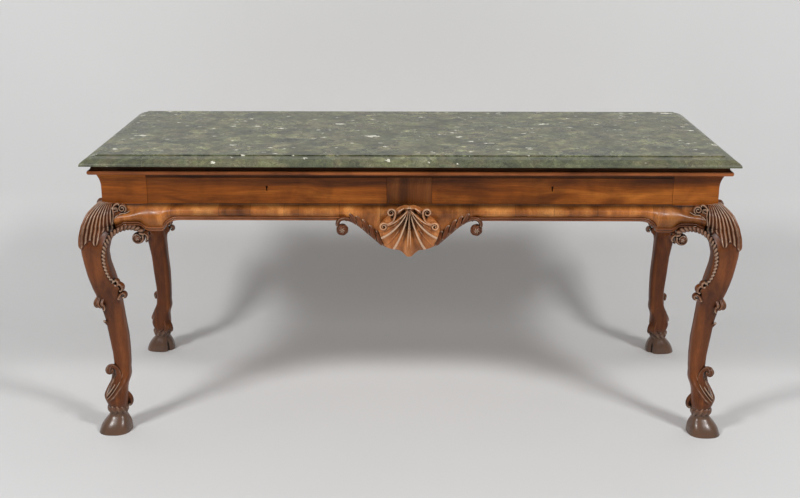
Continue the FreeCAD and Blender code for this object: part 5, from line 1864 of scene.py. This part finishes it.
    def leaf(self, side: float) -> Carving:
        """A side leaf: its band, its leaflets and the bud that hangs at its end.

        Args:
            side: -1 for the left and 1 for the right.

        Returns:
            Its mesh.
        """
        stem = smooth_path(self.leaf_stem, 90)
        reach = tapered(90, (0, 0.5, 0.8, 1), (15.0, 17.0, 21.0, 19.0))
        thick = tapered(90, (0, 0.3, 0.6, 0.8, 1), (10.5, 10.5, 8.5, 6.5, 6.0))
        band = Face.FRONT.place(side * stem[:, 0], reach - 5.0, stem[:, 1])
        parts = [Carving.swept(band, thick, 9.0, 24, 5)]
        tangent = unit(np.gradient(stem, axis=0))
        spread = np.linspace(0.0, 1.0, 26)
        for at in self.leaflets:
            ahead, out = tangent[at], np.array([-tangent[at][1], tangent[at][0]])
            foot = stem[at] - 0.55 * thick[at] * out
            size = thick[at] / thick[0]
            knots = [foot + size * (length * ahead + rise * out) for length, rise in self.blade]
            blade = smooth_path(knots, 26)
            lift = reach[at] + 3.0 + 4.0 * np.sin(math.pi * spread) - 3.0 * spread ** 2
            path = Face.FRONT.place(side * blade[:, 0], lift, blade[:, 1])
            thin = size * tapered(26, (0, 0.35, 0.75, 1), (3.5, 8.2, 7.2, 3.6))
            parts.append(Carving.swept(path, thin, 5.0, 20, 5))
        along, height = self.bud_place
        parts.append(Carving.bud((side * along, -HALF_DEPTH - 15.0, height), 17.5, 14.0, 1, 6, 0.6))
        return Carving.joined(parts)

    def build(self) -> None:
        """Makes the shell and its leaves and dresses them."""
        leaves = {"left": self.leaf(-1.0), "right": self.leaf(1.0)}
        fan = Carving.joined([self.fan()] + self.ridge_beads() + self.hinge_scrolls())
        mesh = make_mesh("shell", fan, 70.0, tuple(leaves.values()))
        add_piece("scallop_shell", mesh, self.finishes.shell, "shell_carving")
        for label, carving in leaves.items():
            mesh = make_mesh("leaf", carving, neighbours=(fan,))
            add_piece(f"side_leaf_{label}", mesh, self.finishes.carving, f"shell_leaf_{label}")


@dataclass
class Cornice(Assembly):
    """The small cornice under the slab: a rounded lip with a set-back fillet above, mitred at the corners."""

    foot: float = 789.0
    top: float = 813.0
    lip_reach: float = 25.0
    lip_radius: float = 5.2
    lip_half_height: float = 6.6
    lip_drop: float = 3.3
    lip_back: float = 14.0
    lip_turn: Pair = (0.62, -0.46)
    fillet_reach: float = 18.5
    fillet_height: float = 6.5

    def section(self) -> tuple[Array, Array]:
        """The outline of the moulding.

        Returns:
            Its reaches and its heights.
        """
        turn = np.linspace(*self.lip_turn, 18) * math.pi
        low = self.foot - self.lip_drop
        nose = low + self.lip_half_height + 0.1
        fillet = [(0.0, self.top), (self.fillet_reach, self.top),
                  (self.fillet_reach, self.top - self.fillet_height)]
        lip = np.stack([self.lip_reach + self.lip_radius * np.cos(turn),
                        nose + self.lip_half_height * np.sin(turn)], axis=-1)
        foot = [(self.lip_reach, low), (self.lip_back, low), (0.0, self.foot)]
        reach, height = np.vstack([fillet, lip, foot]).T
        return reach, height

    def build(self) -> None:
        """Makes the three runs and dresses them."""
        reach, height = self.section()
        for face in Face:
            node = f"cornice_{face.value}"
            if face is Face.FRONT:
                ends = (-HALF_LENGTH - reach, HALF_LENGTH + reach)
                material = self.finishes.moulding
            else:
                ends = (-HALF_DEPTH - reach, np.full_like(reach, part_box(node)[1][1] / MILLIMETRE))
                material = self.finishes.moulding_ends
            rings = np.array([face.place(end, reach, height) for end in ends])
            mesh = make_mesh(node, Carving.lofted(rings), 35.0)
            add_piece(f"rounded_{node}", mesh, material, node)


@dataclass
class MarbleSlab(Assembly):
    """The marble top, moulded in front and at both ends and square at the back."""

    half: float = 919.0
    front: float = -379.0
    back: float = 358.0
    foot: float = 813.0
    top: float = 840.0
    mould_width: float = 39.0
    field_step: float = 2.5
    field_edge: Line = ((0.15, 1.2), (0.5, 0.5), (1.2, 0.0))
    lip: float = 6.0
    arris: float = 1.6

    def section(self) -> Array:
        """The edge from the bed up to the field.

        Returns:
            An inset and a height in each row.
        """
        turn = np.linspace(0.0, 0.5 * math.pi, 6)
        shoulder = self.top - self.field_step
        rise = shoulder - self.foot - self.lip
        radius = (self.mould_width ** 2 + rise ** 2) / (2 * rise)
        sweep = np.linspace(math.asin(self.mould_width / radius), 0.0, 18)[1:]
        under = self.arris * (1 - np.stack([np.sin(turn), np.cos(turn)], axis=-1)) + (0.0, self.foot)
        nose = [(0.0, self.foot + self.lip - 1.0), (0.5, self.foot + self.lip - 0.2)]
        climb = shoulder - radius * (1 - np.cos(sweep))
        bow = np.stack([self.mould_width - radius * np.sin(sweep), climb], axis=-1)
        step = [(self.mould_width + inset, self.top - drop) for inset, drop in self.field_edge]
        return np.vstack([under, nose, bow, step])

    def build(self) -> None:
        """Makes the slab and dresses it."""
        rings = []
        for inset, height in self.section():
            x, y = self.half - inset, self.front + inset
            rings.append([(-x, self.back, height), (-x, y, height), (x, y, height), (x, self.back, height)])
        mesh = make_mesh("slab", Carving.lofted(np.array(rings)), 32.0)
        add_piece("moulded_marble_slab", mesh, self.finishes.marble, "marble_top")


@dataclass
class Joinery(Assembly):
    """The rails, stiles, drawers and fittings that keep their shape, with eased edges where they show."""

    easing: float = 0.7
    drawer_easing: float = 1.7
    arris_angle: float = 50.0
    arris_length: float = 12.0
    crease: float = 28.0

    def eased(self, node: str) -> Mesh:
        """A copy of a node's mesh with its long arrises eased.

        Args:
            node: The node's name.

        Returns:
            The new mesh.
        """
        mesh = frame["nodes"][node].data.copy()
        mesh.materials.clear()
        work = bmesh.new()
        work.from_mesh(mesh)
        bmesh.ops.remove_doubles(work, verts=work.verts, dist=1e-5)
        bmesh.ops.dissolve_limit(work, angle_limit=math.radians(0.5), verts=work.verts, edges=work.edges)
        arrises = [edge for edge in work.edges if len(edge.link_faces) == 2 and edge.is_convex
                   and edge.calc_face_angle() > math.radians(self.arris_angle)
                   and edge.calc_length() > self.arris_length * MILLIMETRE]
        width = self.drawer_easing if node.startswith("drawer") else self.easing
        bmesh.ops.bevel(work, geom=arrises, offset=width * MILLIMETRE, offset_type="OFFSET", segments=2,
                        profile=0.5, affect="EDGES", clamp_overlap=True)
        work.to_mesh(mesh)
        work.free()
        mesh.shade_smooth()
        mesh.set_sharp_from_angle(angle=math.radians(self.crease))
        return mesh

    def build(self) -> None:
        """Eases and dresses what shows, and dresses the rest."""
        shown = {"front_top_rail": self.finishes.rail, "front_center_stile": self.finishes.stile}
        pairs = {"front_end_stile_{}": self.finishes.end_stile, "side_facing_{}": self.finishes.frieze_ends,
                 "drawer_{}_front": self.finishes.frieze}
        for name, material in pairs.items():
            shown |= {name.format(side): material for side in ("left", "right")}
        for node, material in shown.items():
            body = frame["nodes"][node]["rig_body"]
            add_piece(f"{node}_eased", self.eased(node), material, node, body)
        self._dress()

    def _dress(self) -> None:
        """Gives the nodes that keep their own mesh their finishes."""
        finishes = self.finishes
        deep = ("side_rail", "runner", "kicker", "bearer")
        for name, node in frame["nodes"].items():
            if node.hide_render:
                continue
            if "lock_bolt" in name or "lock_case" in name:
                material = finishes.iron
            elif "lock_screws" in name:
                material = finishes.brass
            elif name.startswith(("drawer_left", "drawer_right")):
                material = finishes.oak_sides if "side" in name else finishes.oak
            else:
                material = finishes.pine_ends if any(word in name for word in deep) else finishes.pine
            node.data.materials.clear()
            node.data.materials.append(material)
            LOG.info("%s keeps its solid", name)


@dataclass
class Studio:
    """The pale floor, the soft lights and the camera of the photograph."""

    camera_place: Triple = (0.011, -3.626, 1.544)
    camera_pitch: float = 16.56
    camera_turn: float = 0.65
    lens: float = 54.0
    sensor_width: float = 36.0
    view_depth: float = 200.0
    lamps: tuple[tuple[str, Triple, float], ...] = (
        ("left_softbox", (-2.9, -3.1, 3.9), 126.0), ("right_softbox", (2.9, -3.1, 3.9), 122.0))
    lamp_size: float = 0.9
    lamp_aim: Triple = (0.0, 0.0, 0.45)
    paper_grey: float = 0.74
    paper_roughness: float = 0.85
    paper_shine: float = 0.1
    ambient: float = 0.27
    horizon: float = 0.62
    mirrored: Pair = (0.10, 0.42)
    floor_front: float = -12.0
    sweep_start: float = 0.58
    sweep_radius: float = 0.42
    wall_top: float = 3.2
    half_width: float = 9.0

    def build(self) -> None:
        """Makes the stage."""
        self._paper()
        self._world()
        for name, place, power in self.lamps:
            lamp = bpy.data.lights.new(name, "AREA")
            lamp.energy = power
            lamp.size = self.lamp_size
            light = place_object(name, lamp)
            light.location = place
            x, y, z = np.array(self.lamp_aim) - np.array(place)
            light.rotation_euler = (math.atan2(math.hypot(x, y), -z), 0.0, math.atan2(-x, y))
        camera = bpy.data.cameras.new("photo_camera")
        camera.sensor_width = self.sensor_width
        camera.lens = self.lens
        camera.clip_end = self.view_depth
        stand = place_object("photo_camera", camera)
        stand.location = self.camera_place
        stand.rotation_euler = (math.radians(90.0 - self.camera_pitch), 0.0, math.radians(self.camera_turn))
        bpy.context.scene.camera = stand
        bpy.context.scene.view_settings.view_transform = "Standard"

    def _paper(self) -> None:
        """The paper floor that sweeps up behind the table and isn't seen from behind."""
        turn = np.linspace(0.0, 0.5 * math.pi, 25)
        depth = np.concatenate([[self.floor_front], self.sweep_start + self.sweep_radius * np.sin(turn),
                                [self.sweep_start + self.sweep_radius]])
        height = np.concatenate([[0.0], self.sweep_radius * (1.0 - np.cos(turn)), [self.wall_top]])
        points = [(side * self.half_width, y, z) for y, z in zip(depth, height) for side in (-1.0, 1.0)]
        faces = [(row, row + 1, row + 3, row + 2) for row in range(0, len(points) - 2, 2)]
        mesh = bpy.data.meshes.new("paper_sweep")
        mesh.from_pydata(points, [], faces)
        mesh.shade_smooth()
        paper = place_object("paper_sweep", mesh)
        sheet, shader, place, material = start_material("pale_paper")
        low, high = 0.985 * self.paper_grey, 1.015 * self.paper_grey
        tone = sheet.step(sheet.noise(place, 1.2, 2.0), 0.2, 0.8, low, high)
        sheet.set(shader, {"Base Color": tone, "Roughness": self.paper_roughness,
                           "Specular IOR Level": self.paper_shine})
        behind = sheet.add("ShaderNodeNewGeometry").outputs["Backfacing"]
        clear = sheet.take("ShaderNodeBsdfTransparent")
        blend = sheet.take("ShaderNodeMixShader", {0: behind, 1: shader.outputs[0], 2: clear})
        sheet.set(sheet.tree.nodes["Material Output"], {"Surface": blend})
        mesh.materials.append(material)

    def _world(self) -> None:
        """Even light from all round, pale behind the table and dark behind the camera in reflections."""
        world = bpy.data.worlds.new("studio_world")
        world.use_nodes = True
        sheet = Sheet(world.node_tree)
        rays = sheet.add("ShaderNodeLightPath").outputs
        way = sheet.add("ShaderNodeTexCoord").outputs["Generated"]
        depth = sheet.add("ShaderNodeSeparateXYZ", {0: way}).outputs[1]
        shining = sheet.math("MAXIMUM", rays["Is Glossy Ray"], rays["Is Transmission Ray"])
        colour = sheet.mix(shining, grey(self.ambient), sheet.step(depth, -0.3, 0.5, *self.mirrored))
        colour = sheet.mix(rays["Is Camera Ray"], colour, grey(self.horizon))
        sheet.set(sheet.tree.nodes["Background"], {"Color": colour})
        bpy.context.scene.world = world


def main() -> None:
    """Builds the table's pieces, dresses them and sets the stage."""
    logging.basicConfig(level=logging.INFO, format="%(message)s")
    kit = (Finishes(), PathTrees())
    MarbleSlab(*kit).build()
    for face, half in ((Face.FRONT, HALF_LENGTH), (Face.LEFT, HALF_DEPTH), (Face.RIGHT, HALF_DEPTH)):
        Apron(*kit, face, half, face is Face.FRONT).build()
    leg, ear = CabrioleLeg(*kit), Ear(*kit)
    leg_carving, ear_carving = leg.carve(), ear.carve()
    leg.build(leg_carving, ear_carving)
    ear.build(ear_carving, leg_carving)
    Shell(*kit).build()
    Cornice(*kit).build()
    Joinery(*kit).build()
    Studio().build()


if __name__ == "__main__":
    main()
